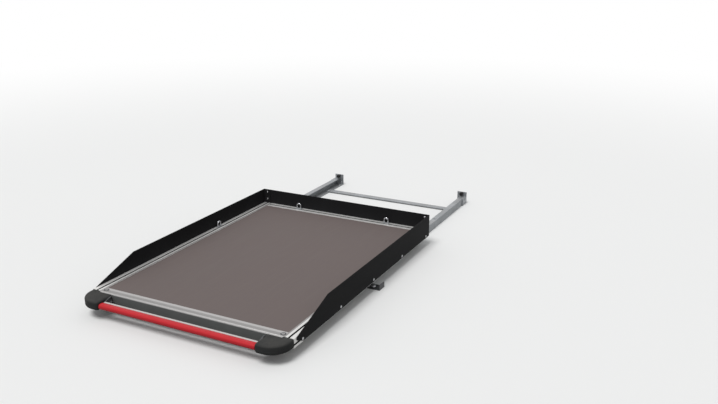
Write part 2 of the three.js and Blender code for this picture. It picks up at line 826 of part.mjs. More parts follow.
// Release bar: a hollow metal core with the grip in front of it
const gripFront = GRIP_RECESS - HANDLE_DEPTH;
const gripRear = gripFront + GRIP_DEPTH;
const coreRear = gripRear + CORE_THICKNESS;
const barTop = frameTop - BAR_TOP_DROP;
const coreOutline = rectangle(gripRear, coreRear, barTop - CORE_HEIGHT, barTop);
const coreHollow = rectangle(
  gripRear + CORE_WALL,
  coreRear - CORE_WALL,
  barTop - CORE_HEIGHT + CORE_WALL,
  barTop - CORE_WALL,
);
const core = crosswise(coreOutline, -leverInner, leverInner, [coreHollow]);
add(tray, "release_bar_core", core, aluminium());

function grip() {
  const low = barTop - GRIP_HEIGHT;
  const outline = [
    ...arc(gripRear - GRIP_EASE, barTop - GRIP_EASE, GRIP_EASE, 0, 1),
    ...arc(gripFront + GRIP_ROUND, barTop - GRIP_ROUND, GRIP_ROUND, 1, 2),
    ...arc(gripFront + GRIP_ROUND, low + GRIP_ROUND, GRIP_ROUND, 2, 3),
    ...arc(gripRear - GRIP_EASE, low + GRIP_EASE, GRIP_EASE, 3, 4),
  ];
  return crosswise(outline, -barEnd, barEnd);
}
add(tray, "release_grip", grip(), redGrip());

// Release lever: a plate from the bar to its pivot on the cap, with the crank
// pin that draws the rod
function lever() {
  const neck = barTop - CORE_HEIGHT / 2;
  const outline = [
    [gripRear, neck + LEVER_NECK],
    [gripRear, neck - LEVER_NECK],
    [pivotY - LEVER_CRANK_HUB, rodZ - LEVER_CRANK_HUB / 2],
    ...arc(pivotY, rodZ, LEVER_CRANK_HUB, 3, 4),
    ...arc(pivotY, pivotZ, LEVER_HUB, 4, 5),
  ].reverse();
  const plate = crosswise(outline, leverInner, barEnd);
  const bore = crosswise(
    circle(pivotY, pivotZ, PIVOT_RADIUS + FIT_GAP),
    leverInner - LEVER_THICKNESS,
    barEnd + LEVER_THICKNESS,
  );
  const pin = crosswise(
    circle(pivotY, rodZ, CRANK_PIN_RADIUS),
    leverInner - CRANK_PIN_LENGTH,
    leverInner + LEVER_THICKNESS / 2,
  );
  return geometryOf(solid(plate).subtract(solid(bore)).add(solid(pin)));
}
addPair(tray, "release_lever", lever, zincSteel);

// Lock pin heights: the tip rides on the rail, the head hangs on the rod's wedge
const pinLow = RAIL_HEIGHT + RUN_GAP;
const housingLow = frameBottom + HOUSING_LIFT;
const wedgeLow = housingLow + HOUSING_HEIGHT + RUN_GAP;
const wedgeFlat = wedgeLow + WEDGE_PLATE;
const pinHeadLow = wedgeFlat + FIT_GAP;

// Release rod: an eye on the crank pin, the rod, and a wedge plate under the pin's head
function releaseRod() {
  const eye = crosswise(
    circle(pivotY, rodZ, ROD_EYE_RADIUS),
    rodX - ROD_EYE_THICKNESS / 2,
    rodX + ROD_EYE_THICKNESS / 2,
    [circle(pivotY, rodZ, ROD_EYE_HOLE)],
  );
  const shaft = lengthwise(
    circle(rodX, rodZ, ROD_RADIUS),
    pivotY + (ROD_EYE_RADIUS + ROD_EYE_HOLE) / 2,
    LOCK_FROM_FRONT + WEDGE_TAIL,
  );
  const rampFrom = LOCK_FROM_FRONT + PIN_HEAD_RADIUS + RUN_GAP;
  const wedge = crosswise(
    [
      [LOCK_FROM_FRONT - WEDGE_TAIL, wedgeLow],
      [rampFrom + PIN_STROKE + WEDGE_TOP, wedgeLow],
      [rampFrom + PIN_STROKE + WEDGE_TOP, wedgeFlat + PIN_STROKE],
      [rampFrom + PIN_STROKE, wedgeFlat + PIN_STROKE],
      [rampFrom, wedgeFlat],
      [LOCK_FROM_FRONT - WEDGE_TAIL, wedgeFlat],
    ],
    rodX - ROD_RADIUS,
    lockX + WEDGE_SIDE,
  );
  const slot = block(
    lockX - PIN_RADIUS - RUN_GAP,
    lockX + PIN_RADIUS + RUN_GAP,
    LOCK_FROM_FRONT - PIN_RADIUS - RUN_GAP,
    LOCK_FROM_FRONT + PIN_STROKE + PIN_RADIUS + RUN_GAP,
    wedgeLow - WEDGE_PLATE,
    wedgeFlat + 2 * PIN_STROKE,
  );
  return geometryOf(
    solid(shaft).add(solid(eye)).add(solid(wedge)).subtract(solid(slot)),
  );
}
addPair(tray, "release_rod", releaseRod, brightSteel);

// Lock housing: a block on the side profile that guides the pin
function lockHousing() {
  const body = block(
    lockX - HOUSING_SIDE,
    frameInner,
    LOCK_FROM_FRONT - HOUSING_LENGTH / 2,
    LOCK_FROM_FRONT + HOUSING_LENGTH / 2,
    housingLow,
    housingLow + HOUSING_HEIGHT,
  );
  const bore = upright(
    circle(lockX, LOCK_FROM_FRONT, PIN_RADIUS + FIT_GAP),
    housingLow - HOUSING_LIFT,
    wedgeLow + HOUSING_LIFT,
  );
  return cut(body, bore);
}
addPair(tray, "lock_housing", lockHousing, zincSteel);

function lockPin() {
  const profile = [
    [0, pinLow],
    [PIN_RADIUS, pinLow],
    [PIN_RADIUS, pinHeadLow],
    [PIN_HEAD_RADIUS, pinHeadLow],
    [PIN_HEAD_RADIUS, pinHeadLow + PIN_HEAD],
    [0, pinHeadLow + PIN_HEAD],
  ];
  return turnedAlongZ(profile, SHAFT_SIDES).translate(lockX, LOCK_FROM_FRONT, 0);
}
addPair(tray, "lock_pin", lockPin, brightSteel);

export default slide;
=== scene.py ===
# %% [markdown]
# # A load tray that slides out of a pickup bed
#
# The real object has two steel rails bolted to the bed floor. A framed deck with low
# boards rolls in them and is drawn out by a red bar between two moulded corners.
#
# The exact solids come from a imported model, the frame. This file gives them their
# looks. Most solids are copied and get eased edges, because no real edge is quite
# sharp. Those with soft or turned shapes are built again with more faces. Everything
# is in metres, and every piece stays where its solid is.

# %% Load the frame
import json
import math

import bmesh
import bpy
from mathutils import Matrix, Vector


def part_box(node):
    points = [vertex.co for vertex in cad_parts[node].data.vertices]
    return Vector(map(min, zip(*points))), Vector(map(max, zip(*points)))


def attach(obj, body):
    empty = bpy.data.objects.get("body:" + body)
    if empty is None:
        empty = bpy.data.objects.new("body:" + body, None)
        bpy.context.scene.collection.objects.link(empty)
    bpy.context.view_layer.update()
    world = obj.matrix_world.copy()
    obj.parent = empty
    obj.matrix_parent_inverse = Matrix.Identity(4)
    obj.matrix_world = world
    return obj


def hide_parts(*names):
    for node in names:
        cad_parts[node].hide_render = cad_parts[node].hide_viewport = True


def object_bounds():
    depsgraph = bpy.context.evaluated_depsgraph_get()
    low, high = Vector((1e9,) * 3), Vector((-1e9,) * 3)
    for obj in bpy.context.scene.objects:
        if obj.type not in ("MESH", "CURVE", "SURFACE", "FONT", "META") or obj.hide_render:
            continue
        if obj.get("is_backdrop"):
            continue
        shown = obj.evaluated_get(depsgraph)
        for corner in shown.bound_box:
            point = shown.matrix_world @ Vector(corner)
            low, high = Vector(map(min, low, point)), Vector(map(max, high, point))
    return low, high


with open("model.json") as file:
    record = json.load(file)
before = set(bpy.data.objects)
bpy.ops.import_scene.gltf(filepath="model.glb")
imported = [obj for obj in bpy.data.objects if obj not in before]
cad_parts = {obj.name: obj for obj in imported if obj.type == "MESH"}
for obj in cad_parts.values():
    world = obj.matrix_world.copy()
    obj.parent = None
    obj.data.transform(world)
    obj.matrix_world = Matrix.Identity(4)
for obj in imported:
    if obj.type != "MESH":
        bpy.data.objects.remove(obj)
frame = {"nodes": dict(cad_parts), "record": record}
cad_box = [list(corner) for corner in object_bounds()]
body_of_node = {}
for body, members in frame["record"]["behaviour"]["bodies"].items():
    for member in members:
        body_of_node[member] = body

# %% [markdown]
# ## Camera
#
# The camera could be placed by eye, but straight edges fix it better. It was fitted to
# the tray's edges, so its place and its lens are plain numbers here. Azimuth 0 looks
# along +Y, and the elevation is how far the camera looks down.

# %% Camera
CAMERA_PLACE = Vector((1.9182, -3.2562, 1.5021))
CAMERA_AZIMUTH = math.radians(26.811)
CAMERA_ELEVATION = math.radians(18.242)
CAMERA_LENS = 39.938
CAMERA_SENSOR = 36.0
CAMERA_REACH = 100.0

camera_data = bpy.data.cameras.new("camera")
camera_data.lens = CAMERA_LENS
camera_data.sensor_width = CAMERA_SENSOR
camera_data.sensor_fit = "HORIZONTAL"
camera_data.clip_end = CAMERA_REACH
camera = bpy.data.objects.new("camera", camera_data)
bpy.context.scene.collection.objects.link(camera)
sin_a, cos_a = math.sin(CAMERA_AZIMUTH), math.cos(CAMERA_AZIMUTH)
sin_e, cos_e = math.sin(CAMERA_ELEVATION), math.cos(CAMERA_ELEVATION)
back = Vector((sin_a * cos_e, -cos_a * cos_e, sin_e))
right = Vector((cos_a, sin_a, 0.0))
up = back.cross(right)
turned = Matrix((right, up, back)).transposed().to_4x4()
camera.matrix_world = Matrix.Translation(CAMERA_PLACE) @ turned
bpy.context.scene.camera = camera
bpy.context.scene.view_settings.view_transform = "Standard"
print("camera at", tuple(round(c, 3) for c in camera.location), "lens", CAMERA_LENS)

# %% [markdown]
# ## Colours and nodes
#
# Colours are easy to read as the numbers 0 to 255 that a screen shows. Shaders work
# with linear light, so one helper turns the first into the second. The sky, the
# finishes and the screw heads are all trees of nodes. A few more helpers add a node,
# set it and link what feeds it in one call.

# %% A colour as a screen shows it
def seen(red, green, blue):
    """A screen colour, 0 to 255, as the linear colour of a shader."""
    linear = []
    for value in (red, green, blue):
        part = value / 255
        linear.append(part / 12.92 if part <= 0.04045 else ((part + 0.055) / 1.055) ** 2.4)
    return (*linear, 1.0)


print("mid grey is", round(seen(128, 128, 128)[0], 3), "in linear light")

# %% Helpers that add nodes
def add_node(tree, kind, inputs=None, **settings):
    """A new node with its settings. Each input is a socket to link or a value to set."""
    node = tree.nodes.new(kind)
    for label, value in settings.items():
        setattr(node, label, value)
    for label, source in (inputs or {}).items():
        if isinstance(source, bpy.types.NodeSocket):
            tree.links.new(source, node.inputs[label])
        else:
            node.inputs[label].default_value = source
    return node


def number(tree, operation, first, second=None, clamp=False):
    """A Math node. Each input is a socket or a number."""
    inputs = {0: first} if second is None else {0: first, 1: second}
    return add_node(tree, "ShaderNodeMath", inputs, operation=operation, use_clamp=clamp).outputs[0]


def remap(tree, value, from_low, from_high, to_low=0.0, to_high=1.0, **settings):
    """Maps one range of numbers onto another and stays inside it."""
    inputs = {
        "Value": value, "From Min": from_low, "From Max": from_high,
        "To Min": to_low, "To Max": to_high,
    }
    return add_node(tree, "ShaderNodeMapRange", inputs, **settings).outputs["Result"]


def over(tree, below, above, mask):
    """Lays one colour over another where the mask says so."""
    inputs = {0: mask, 6: below, 7: above}
    return add_node(tree, "ShaderNodeMix", inputs, data_type="RGBA").outputs[2]


def blend(tree, mask, below, above):
    """Mixes two shaders where the mask says so."""
    return add_node(tree, "ShaderNodeMixShader", {0: mask, 1: below, 2: above}).outputs[0]


KINDS = {float: "Float", int: "Int", tuple: "Vector"}


def open_group(name, tree_kind, inputs, output, output_kind):
    """A node group. Each input has its default value, or only a kind where it has none."""
    group = bpy.data.node_groups.new(name, tree_kind)
    for label, value in inputs.items():
        kind = KINDS.get(type(value))
        full_kind = f"NodeSocket{kind or value}"
        socket = group.interface.new_socket(label, in_out="INPUT", socket_type=full_kind)
        if kind:
            socket.default_value = value
    group.interface.new_socket(output, in_out="OUTPUT", socket_type=f"NodeSocket{output_kind}")
    return group, group.nodes.new("NodeGroupInput").outputs


print("node helpers ready")

# %% [markdown]
# ## Studio
#
# The floor is pale and plain. One wide, soft sun gives the shadow its direction, and
# the sky fills the rest, together about as much light as makes a colour render as it is
# written. Camera rays, and rays that mirror in metal, see a white sky. Far away
# the floor fades into it, so there is no horizon. A pale floor would also throw a lot
# of light back up, and faces that look down or forward would lose their shade. So the
# light that bounces off it is that of a darker floor.

# %% Sky and sun
WHITE = (1.0, 1.0, 1.0, 1.0)
SKY_TINT = (0.97, 0.985, 1.0, 1.0)
SKY_LIGHT = 0.45
SUN_LIGHT = 1.95
SUN_SOFTNESS = math.radians(28)
SUN_TURN = (math.radians(24), math.radians(-4), 0.0)

world = bpy.data.worlds.new("sky")
bpy.context.scene.world = world
world.use_nodes = True
sky = world.node_tree
sky.nodes.clear()
sky_rays = sky.nodes.new("ShaderNodeLightPath").outputs
sky_direct = number(sky, "MAXIMUM", sky_rays["Is Camera Ray"], sky_rays["Is Glossy Ray"])
sky_any = number(sky, "MAXIMUM", sky_direct, sky_rays["Is Transmission Ray"])
sky_fill = add_node(sky, "ShaderNodeBackground", {"Color": SKY_TINT, "Strength": SKY_LIGHT})
sky_seen = add_node(sky, "ShaderNodeBackground", {"Color": WHITE, "Strength": 1.0})
sky_mix = blend(sky, sky_any, sky_fill.outputs[0], sky_seen.outputs[0])
add_node(sky, "ShaderNodeOutputWorld", {"Surface": sky_mix})

sun_data = bpy.data.lights.new("sun", "SUN")
sun_data.energy = SUN_LIGHT
sun_data.angle = SUN_SOFTNESS
sun = bpy.data.objects.new("sun", sun_data)
sun.rotation_euler = SUN_TURN
bpy.context.scene.collection.objects.link(sun)
print("sky", SKY_LIGHT, "sun", SUN_LIGHT)

# %% Floor
FLOOR_RADIUS = 14.0
FLOOR_SIDES = 96
FLOOR_ROUGHNESS = 0.85
FLOOR_SEEN = seen(236, 236, 235)
FLOOR_BOUNCE = seen(108, 108, 108)
FADE_FROM = 2.2
FADE_TO = 7.5


def floor_material():
    """Pale floor that fades to white far away and doesn't hide the part from below."""
    material = bpy.data.materials.new("pale_floor")
    material.use_nodes = True
    tree = material.node_tree
    shader = tree.nodes["Principled BSDF"]
    shader.inputs["Roughness"].default_value = FLOOR_ROUGHNESS
    rays = tree.nodes.new("ShaderNodeLightPath").outputs
    direct = number(tree, "MAXIMUM", rays["Is Camera Ray"], rays["Is Glossy Ray"])
    tree.links.new(over(tree, FLOOR_BOUNCE, FLOOR_SEEN, direct), shader.inputs["Base Color"])
    place = tree.nodes.new("ShaderNodeTexCoord").outputs["Object"]
    length = add_node(tree, "ShaderNodeVectorMath", {0: place}, operation="LENGTH").outputs["Value"]
    far = remap(tree, length, FADE_FROM, FADE_TO, interpolation_type="SMOOTHSTEP")
    white = add_node(tree, "ShaderNodeEmission", {"Color": WHITE}).outputs[0]
    faded = blend(tree, number(tree, "MULTIPLY", far, direct), shader.outputs[0], white)
    from_below = tree.nodes.new("ShaderNodeNewGeometry").outputs["Backfacing"]
    clear = tree.nodes.new("ShaderNodeBsdfTransparent").outputs[0]
    sided = blend(tree, from_below, faded, clear)
    tree.links.new(sided, tree.nodes["Material Output"].inputs["Surface"])
    return material


floor_shape = bmesh.new()
bmesh.ops.create_circle(floor_shape, cap_ends=True, segments=FLOOR_SIDES, radius=FLOOR_RADIUS)
floor_mesh = bpy.data.meshes.new("floor")
floor_shape.to_mesh(floor_mesh)
floor_shape.free()
floor_mesh.materials.append(floor_material())
floor = bpy.data.objects.new("floor", floor_mesh)
bpy.context.scene.collection.objects.link(floor)
floor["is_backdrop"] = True
print("floor", FLOOR_RADIUS, "m")

# %% [markdown]
# ## Effects that several finishes share
#
# Drawn lines, slow drift of tone, worn edges, grain and settled dust come back in many
# finishes. Each could be drawn again in each material. Node groups are better: an
# effect is built once, and each material gives it its own sizes. The deck's wire mesh
# is built in the same way for its one finish. All of them read Object coordinates,
# which stay with the piece when it moves.

# %% Helpers for an effect
def effect(name, inputs, output):
    """A shader node group with named inputs (a number or a vector each) and one output."""
    return open_group(name, "ShaderNodeTree", {"Place": "Vector", **inputs}, output, "Float")


def noise(tree, place, scale, detail, roughness):
    """A noise texture, from 0 to 1."""
    inputs = {"Vector": place, "Scale": scale, "Detail": detail, "Roughness": roughness}
    return add_node(tree, "ShaderNodeTexNoise", inputs).outputs["Fac"]


def give(group, result):
    """Links the result to the output of an effect, which is then ready."""
    add_node(group, "NodeGroupOutput", {0: result})
    print(group.name, [item.name for item in group.interface.items_tree])
    return group


# %% Drawn lines: noise that is stretched along the piece
tree, entry = effect("drawn_lines", {"Stretch": (900.0, 3.0, 900.0)}, "Lines")
both = {0: entry["Place"], 1: entry["Stretch"]}
stretched = add_node(tree, "ShaderNodeVectorMath", both, operation="MULTIPLY").outputs[0]
drawn_lines = give(tree, remap(tree, noise(tree, stretched, 1.0, 4.0, 0.65), 0.3, 0.7))

# %% Slow drift: how a surface changes from place to place
tree, entry = effect("slow_drift", {"Size": 0.12}, "Drift")
drift_scale = number(tree, "DIVIDE", 1.0, entry["Size"])
drift_noise = noise(tree, entry["Place"], drift_scale, 5.0, 0.55)
slow_drift = give(tree, remap(tree, drift_noise, 0.25, 0.75))

# %% Worn edges: where a rounded normal leaves the flat one, broken up by noise
tree, entry = effect("worn_edges", {"Width": 0.0015, "Break Up": 60.0}, "Wear")
rounded = add_node(tree, "ShaderNodeBevel", {"Radius": entry["Width"]}, samples=4).outputs[0]
flat = tree.nodes.new("ShaderNodeNewGeometry").outputs["True Normal"]
agree = add_node(
    tree, "ShaderNodeVectorMath", {0: rounded, 1: flat}, operation="DOT_PRODUCT"
).outputs["Value"]
chips = noise(tree, entry["Place"], entry["Break Up"], 6.0, 0.7)
edge = remap(tree, agree, 0.99, 0.8)
chip = remap(tree, chips, 0.42, 0.62)
worn_edges = give(tree, number(tree, "MULTIPLY", edge, chip, True))

# %% Grain: the fine skin of a moulded or painted surface
tree, entry = effect("fine_grain", {"Size": 0.0012}, "Grain")
grain_scale = number(tree, "DIVIDE", 1.0, entry["Size"])
fine_grain = give(tree, noise(tree, entry["Place"], grain_scale, 2.0, 0.5))

# %% Settled dust: lies on what faces up, in soft patches
tree, entry = effect("settled_dust", {"Amount": 0.2, "Patch": 0.09}, "Dust")
facing = tree.nodes.new("ShaderNodeNewGeometry").outputs["Normal"]
upward = add_node(tree, "ShaderNodeSeparateXYZ", {0: facing}).outputs["Z"]
patch_scale = number(tree, "DIVIDE", 1.0, entry["Patch"])
patches = noise(tree, entry["Place"], patch_scale, 7.0, 0.65)
faces_up = remap(tree, upward, 0.1, 0.9, 0.15, 1.0)
lying = number(tree, "MULTIPLY", faces_up, remap(tree, patches, 0.3, 0.8))
settled_dust = give(tree, number(tree, "MULTIPLY", lying, entry["Amount"]))

# %% Wire mesh: the small raised net pressed into the deck's film
tree, entry = effect("pressed_mesh", {"Pitch": 0.0045}, "Net")
along = add_node(tree, "ShaderNodeSeparateXYZ", {0: entry["Place"]}).outputs
wires = []
for way in ("ADD", "SUBTRACT"):
    direction = number(tree, way, along["X"], along["Y"])
    turns = number(tree, "DIVIDE", direction, entry["Pitch"])
    wave = number(tree, "SINE", number(tree, "MULTIPLY", turns, math.pi))
    ridge = number(tree, "SUBTRACT", 1.0, number(tree, "ABSOLUTE", wave))
    wires.append(number(tree, "POWER", ridge, 3.0))
pressed_mesh = give(tree, number(tree, "MAXIMUM", *wires))

# %% [markdown]
# ## Finishes
#
# Each finish starts from one shader with its own plain numbers: colour, roughness and
# whether it is metal. The shared effects then change the colour, roughness and relief
# from place to place. The tones are those of the real surfaces: satin aluminium, zinc
# on the rails, dark steel on the feet and levers, matt black paint, grey-brown film,
# grey mouldings and a red grip. Two finishes paint shade: the dark one inside the
# slots, which also stands for grime, and the darker one in the front profile's groove.

# %% Helpers for a finish
def finish(name, colour, roughness, metallic=0.0, specular=0.5):
    """A new material, its tree and the function that places an effect in it."""
    material = bpy.data.materials.new(name)
    material.use_nodes = True
    tree = material.node_tree
    shader = tree.nodes["Principled BSDF"]
    shader.inputs["Base Color"].default_value = colour
    shader.inputs["Roughness"].default_value = roughness
    shader.inputs["Metallic"].default_value = metallic
    shader.inputs["Specular IOR Level"].default_value = specular
    place = tree.nodes.new("ShaderNodeTexCoord").outputs["Object"]

    def use(group, **sizes):
        """Places an effect with its own sizes and gives its result."""
        inputs = {label.replace("_", " "): value for label, value in sizes.items()}
        inputs["Place"] = place
        return add_node(tree, "ShaderNodeGroup", inputs, node_tree=group).outputs[0]

    return material, tree, use


def shade(tone, share):
    """A tone made darker or brighter by a share."""
    return tuple(min(1.0, part * share) for part in tone[:3]) + (1.0,)


def dress(tree, colour, rough, height=None, depth=0.0):
    """Links colour and roughness, and relief from a height of 0 to 1 with its depth in metres."""
    shader = tree.nodes["Principled BSDF"]
    tree.links.new(colour, shader.inputs["Base Color"])
    tree.links.new(rough, shader.inputs["Roughness"])
    if height is not None:
        bump = add_node(tree, "ShaderNodeBump", {"Distance": depth, "Height": height})
        tree.links.new(bump.outputs["Normal"], shader.inputs["Normal"])


print("a depth of", 0.00005, "m is a twentieth of a millimetre")

# %% Satin aluminium, drawn along the tray or across it
ALONG = (1100.0, 3.0, 1100.0)
ACROSS = (3.0, 1100.0, 1100.0)
COARSE_ALONG = (900.0, 3.0, 900.0)
COARSE_ACROSS = (3.0, 900.0, 900.0)


def satin_aluminium(name, stretch, tone):
    material, tree, use = finish(name, tone, 0.45, 0.5)
    lines = use(drawn_lines, Stretch=stretch)
    drift = use(slow_drift, Size=0.2)
    wear = use(worn_edges, Width=0.0012, Break_Up=90.0)
    drawn = over(tree, shade(tone, 0.93), shade(tone, 1.07), lines)
    worn = over(tree, over(tree, drawn, tone, drift), seen(226, 226, 226), wear)
    fine, broad = remap(tree, lines, 0, 1, 0.4, 0.5), remap(tree, drift, 0, 1, -0.03, 0.04)
    dress(tree, worn, number(tree, "ADD", fine, broad), lines, 0.00004)
    return material


slotted_tone = seen(220, 219, 217)
# groove_tone is darker to paint the shade in the front profile's groove and on its screws; the side
# profiles' dull strip takes the same tone.
groove_tone = seen(148, 146, 145)
aluminium_along = satin_aluminium("aluminium_along", ALONG, slotted_tone)
aluminium_across = satin_aluminium("aluminium_across", ACROSS, slotted_tone)
aluminium_front = satin_aluminium("aluminium_front", ACROSS, seen(179, 177, 176))
aluminium_core = satin_aluminium("aluminium_core", ACROSS, seen(196, 190, 188))
aluminium_groove_shade = satin_aluminium("aluminium_groove_shade", COARSE_ACROSS, groove_tone)
aluminium_strip = satin_aluminium("aluminium_strip", COARSE_ALONG, groove_tone)
# Dark finish inside the slots: painted shade, with some grime.
slot_shade_and_grime = finish("slot_shade_and_grime", seen(40, 40, 41), 0.8, specular=0.1)[0]
print("aluminium", tuple(round(part, 3) for part in slotted_tone))

# %% Zinc plate: bluish, with faint cloudy flakes
def zinc_plate():
    material, tree, use = finish("zinc_plate", seen(160, 164, 168), 0.45, 0.5)
    place = tree.nodes["Texture Coordinate"].outputs["Object"]
    flakes = add_node(tree, "ShaderNodeTexVoronoi", {"Vector": place, "Scale": 140.0})
    drift = use(slow_drift, Size=0.07)
    wear = use(worn_edges, Width=0.0015, Break_Up=70.0)
    dust = use(settled_dust, Amount=0.35, Patch=0.1)
    grain = use(fine_grain, Size=0.003)
    flake = remap(tree, flakes.outputs["Color"], 0, 1)
    cloudy = over(tree, seen(152, 156, 160), seen(170, 173, 176), flake)
    toned = over(tree, cloudy, seen(142, 146, 149), drift)
    edged = over(tree, toned, seen(205, 208, 211), wear)
    dusty = over(tree, edged, seen(150, 142, 134), dust)
    dress(tree, dusty, remap(tree, drift, 0, 1, 0.38, 0.52), grain, 0.00006)
    return material


zinc = zinc_plate()
print("zinc ready")

# %% Turned steel for axles, rods, pins and screws, and the bright plating of the eyes
def bright_metal(name, tone, low, high, depth):
    material, tree, use = finish(name, tone, low, 1.0)
    drift = use(slow_drift, Size=0.02)
    grain = use(fine_grain, Size=0.0006)
    toned = over(tree, tone, shade(tone, 0.82), drift)
    dress(tree, toned, remap(tree, drift, 0, 1, low, high), grain, depth)
    return material


turned_steel = bright_metal("turned_steel", seen(206, 207, 209), 0.2, 0.36, 0.00003)
plated_eye = bright_metal("plated_eye", seen(204, 206, 210), 0.12, 0.24, 0.000008)
print("bright metals ready")

# %% Black paint: fine orange peel, edges rubbed a little, a breath of dust
def black_paint():
    material, tree, use = finish("black_paint", seen(24, 24, 25), 0.5, specular=0.02)
    drift = use(slow_drift, Size=0.16)
    wear = use(worn_edges, Width=0.0012, Break_Up=45.0)
    dust = use(settled_dust, Amount=0.02, Patch=0.07)
    grain = use(fine_grain, Size=0.0011)
    toned = over(tree, seen(31, 31, 32), seen(38, 38, 39), drift)
    rubbed = over(tree, toned, seen(92, 92, 92), number(tree, "MULTIPLY", wear, 0.5))
    dusty = over(tree, rubbed, seen(128, 121, 112), dust)
    skin, powder = remap(tree, drift, 0, 1, 0.42, 0.54), remap(tree, dust, 0, 0.2, 0, 0.25)
    dress(tree, dusty, number(tree, "ADD", skin, powder), grain, 0.00012)
    return material


powder_black = black_paint()
print("black ready")

# %% Dark steel of the feet, the release levers and the rings on the front profile
def dark_metal():
    material, tree, use = finish("dark_steel", seen(78, 79, 81), 0.45, 0.6)
    drift = use(slow_drift, Size=0.03)
    wear = use(worn_edges, Width=0.0008, Break_Up=80.0)
    toned = over(tree, seen(70, 71, 73), seen(86, 87, 89), drift)
    worn = over(tree, toned, seen(150, 152, 154), wear)
    dress(tree, worn, remap(tree, drift, 0, 1, 0.4, 0.52))
    return material


dark_steel = dark_metal()
print("dark steel ready")

# %% Deck film: grey-brown, a pressed net, faint rubs along the way cargo slides
def deck_film():
    material, tree, use = finish("deck_film", seen(113, 103, 101), 0.66, specular=0.15)
    net = use(pressed_mesh, Pitch=0.0045)
    drift = use(slow_drift, Size=0.3)
    rubs = use(drawn_lines, Stretch=(130.0, 2.5, 130.0))
    dust = use(settled_dust, Amount=0.03, Patch=0.05)
    toned = over(tree, seen(104, 95, 93), seen(108, 98, 96), drift)
    netted = over(tree, toned, seen(111, 101, 99), number(tree, "MULTIPLY", net, 0.4))
    streaky = over(tree, netted, seen(113, 104, 101), remap(tree, rubs, 0.6, 1.0, 0.0, 0.2))
    dusty = over(tree, streaky, seen(130, 124, 118), dust)
    skin, polish = remap(tree, drift, 0, 1, 0.62, 0.72), remap(tree, rubs, 0.5, 1, 0, 0.05)
    dress(tree, dusty, number(tree, "SUBTRACT", skin, polish), net, 0.00006)
    return material


film = deck_film()
print("film ready")

# %% Mouldings: grey corners and pan, red grip, rubber and nylon
def moulding(name, tone, rubbed, rough, grain, dusty, shine=0.3):
    """rough is the lowest and highest roughness, grain its size and depth in metres."""
    material, tree, use = finish(name, tone, rough[0], specular=shine)
    drift = use(slow_drift, Size=0.08)
    wear = use(worn_edges, Width=0.002, Break_Up=50.0)
    dust = use(settled_dust, Amount=dusty, Patch=0.06)
    skin = use(fine_grain, Size=grain[0])
    toned = over(tree, tone, shade(tone, 0.9), drift)
    edged = over(tree, toned, rubbed, number(tree, "MULTIPLY", wear, 0.4))
    dusted = over(tree, edged, seen(150, 144, 136), dust)
    dress(tree, dusted, remap(tree, drift, 0, 1, *rough), skin, grain[1])
    return material


grey_moulding = moulding(
    "grey_moulding", seen(53, 54, 54), seen(80, 81, 81),
    rough=(0.5, 0.62), grain=(0.0014, 0.00015), dusty=0.13, shine=0.04,
)
pan_moulding = moulding(
    "pan_moulding", seen(98, 100, 99), seen(116, 118, 117),
    rough=(0.5, 0.62), grain=(0.0014, 0.00015), dusty=0.05, shine=0.1,
)
red_moulding = moulding(
    "red_moulding", seen(198, 40, 48), seen(212, 76, 82),
    rough=(0.4, 0.52), grain=(0.0011, 0.0001), dusty=0.015, shine=0.2,
)
rubber = moulding(
    "rubber", seen(30, 30, 30), seen(52, 52, 52),
    rough=(0.7, 0.85), grain=(0.0016, 0.0001), dusty=0.12,
)
nylon = moulding(
    "nylon", seen(42, 43, 44), seen(70, 71, 72),
    rough=(0.35, 0.5), grain=(0.002, 0.00004), dusty=0.04,
)
print("mouldings ready")

# %% [markdown]
# ## Copies of the solids with eased edges
#
# A cut profile, a folded plate or a sawn panel is already right as a solid, but its
# edges are knife sharp. The edges could be rounded in the shader alone. Real
# geometry catches light better and also keeps in other programs. So each such solid is
# copied, its loose triangles are merged into clean faces, and a Bevel modifier eases
# the edges. A radius of 0 leaves them as they are, as on the thin rods. The solid
# underneath isn't touched.

# %% Helper for an eased copy
def add_piece(name, mesh, body, materials):
    """A new object at the origin that rides on a body. Each face keeps its finish number."""
    piece = bpy.data.objects.new(name, mesh)
    bpy.context.scene.collection.objects.link(piece)
    marks = [face.material_index for face in mesh.polygons]
    mesh.materials.clear()
    for material in materials:
        mesh.materials.append(material)
    if len(materials) > 1:
        mesh.polygons.foreach_set("material_index", marks)
    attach(piece, body)
    return piece


def to_mesh(shape, mesh, angle):
    """Writes a shape into a mesh, smooth but for edges sharper than the angle in degrees."""
    for face in shape.faces:
        face.smooth = True
    shape.to_mesh(mesh)
    shape.free()
    mesh.set_sharp_from_angle(angle=math.radians(angle))


def ease(node, material, radius=0.0006, steps=2, angle=32, detail=None, more=()):
    """A copy of a solid with eased edges, which stands for it.

    detail(shape, low, high) may rework the copy and give faces a finish out of more.
    """
    mesh = frame["nodes"][node].data.copy()
    mesh.name = f"{node}_eased"
    shape = bmesh.new()
    shape.from_mesh(mesh)
    bmesh.ops.remove_doubles(shape, verts=shape.verts, dist=0.000002)
    bmesh.ops.dissolve_limit(
        shape, angle_limit=math.radians(0.5), verts=shape.verts, edges=shape.edges
    )
    if detail:
        detail(shape, *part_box(node))
    to_mesh(shape, mesh, angle)
    finishes = [material, *more]
    piece = add_piece(f"{node}_eased", mesh, body_of_node[node], finishes)
    if radius > 0:
        bevel = piece.modifiers.new("eased_edges", "BEVEL")
        bevel.width = radius
        bevel.segments = steps
        bevel.limit_method = "ANGLE"
        bevel.angle_limit = math.radians(angle)
        bevel.harden_normals = True
        bevel.use_clamp_overlap = True
    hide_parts(node)
    return piece
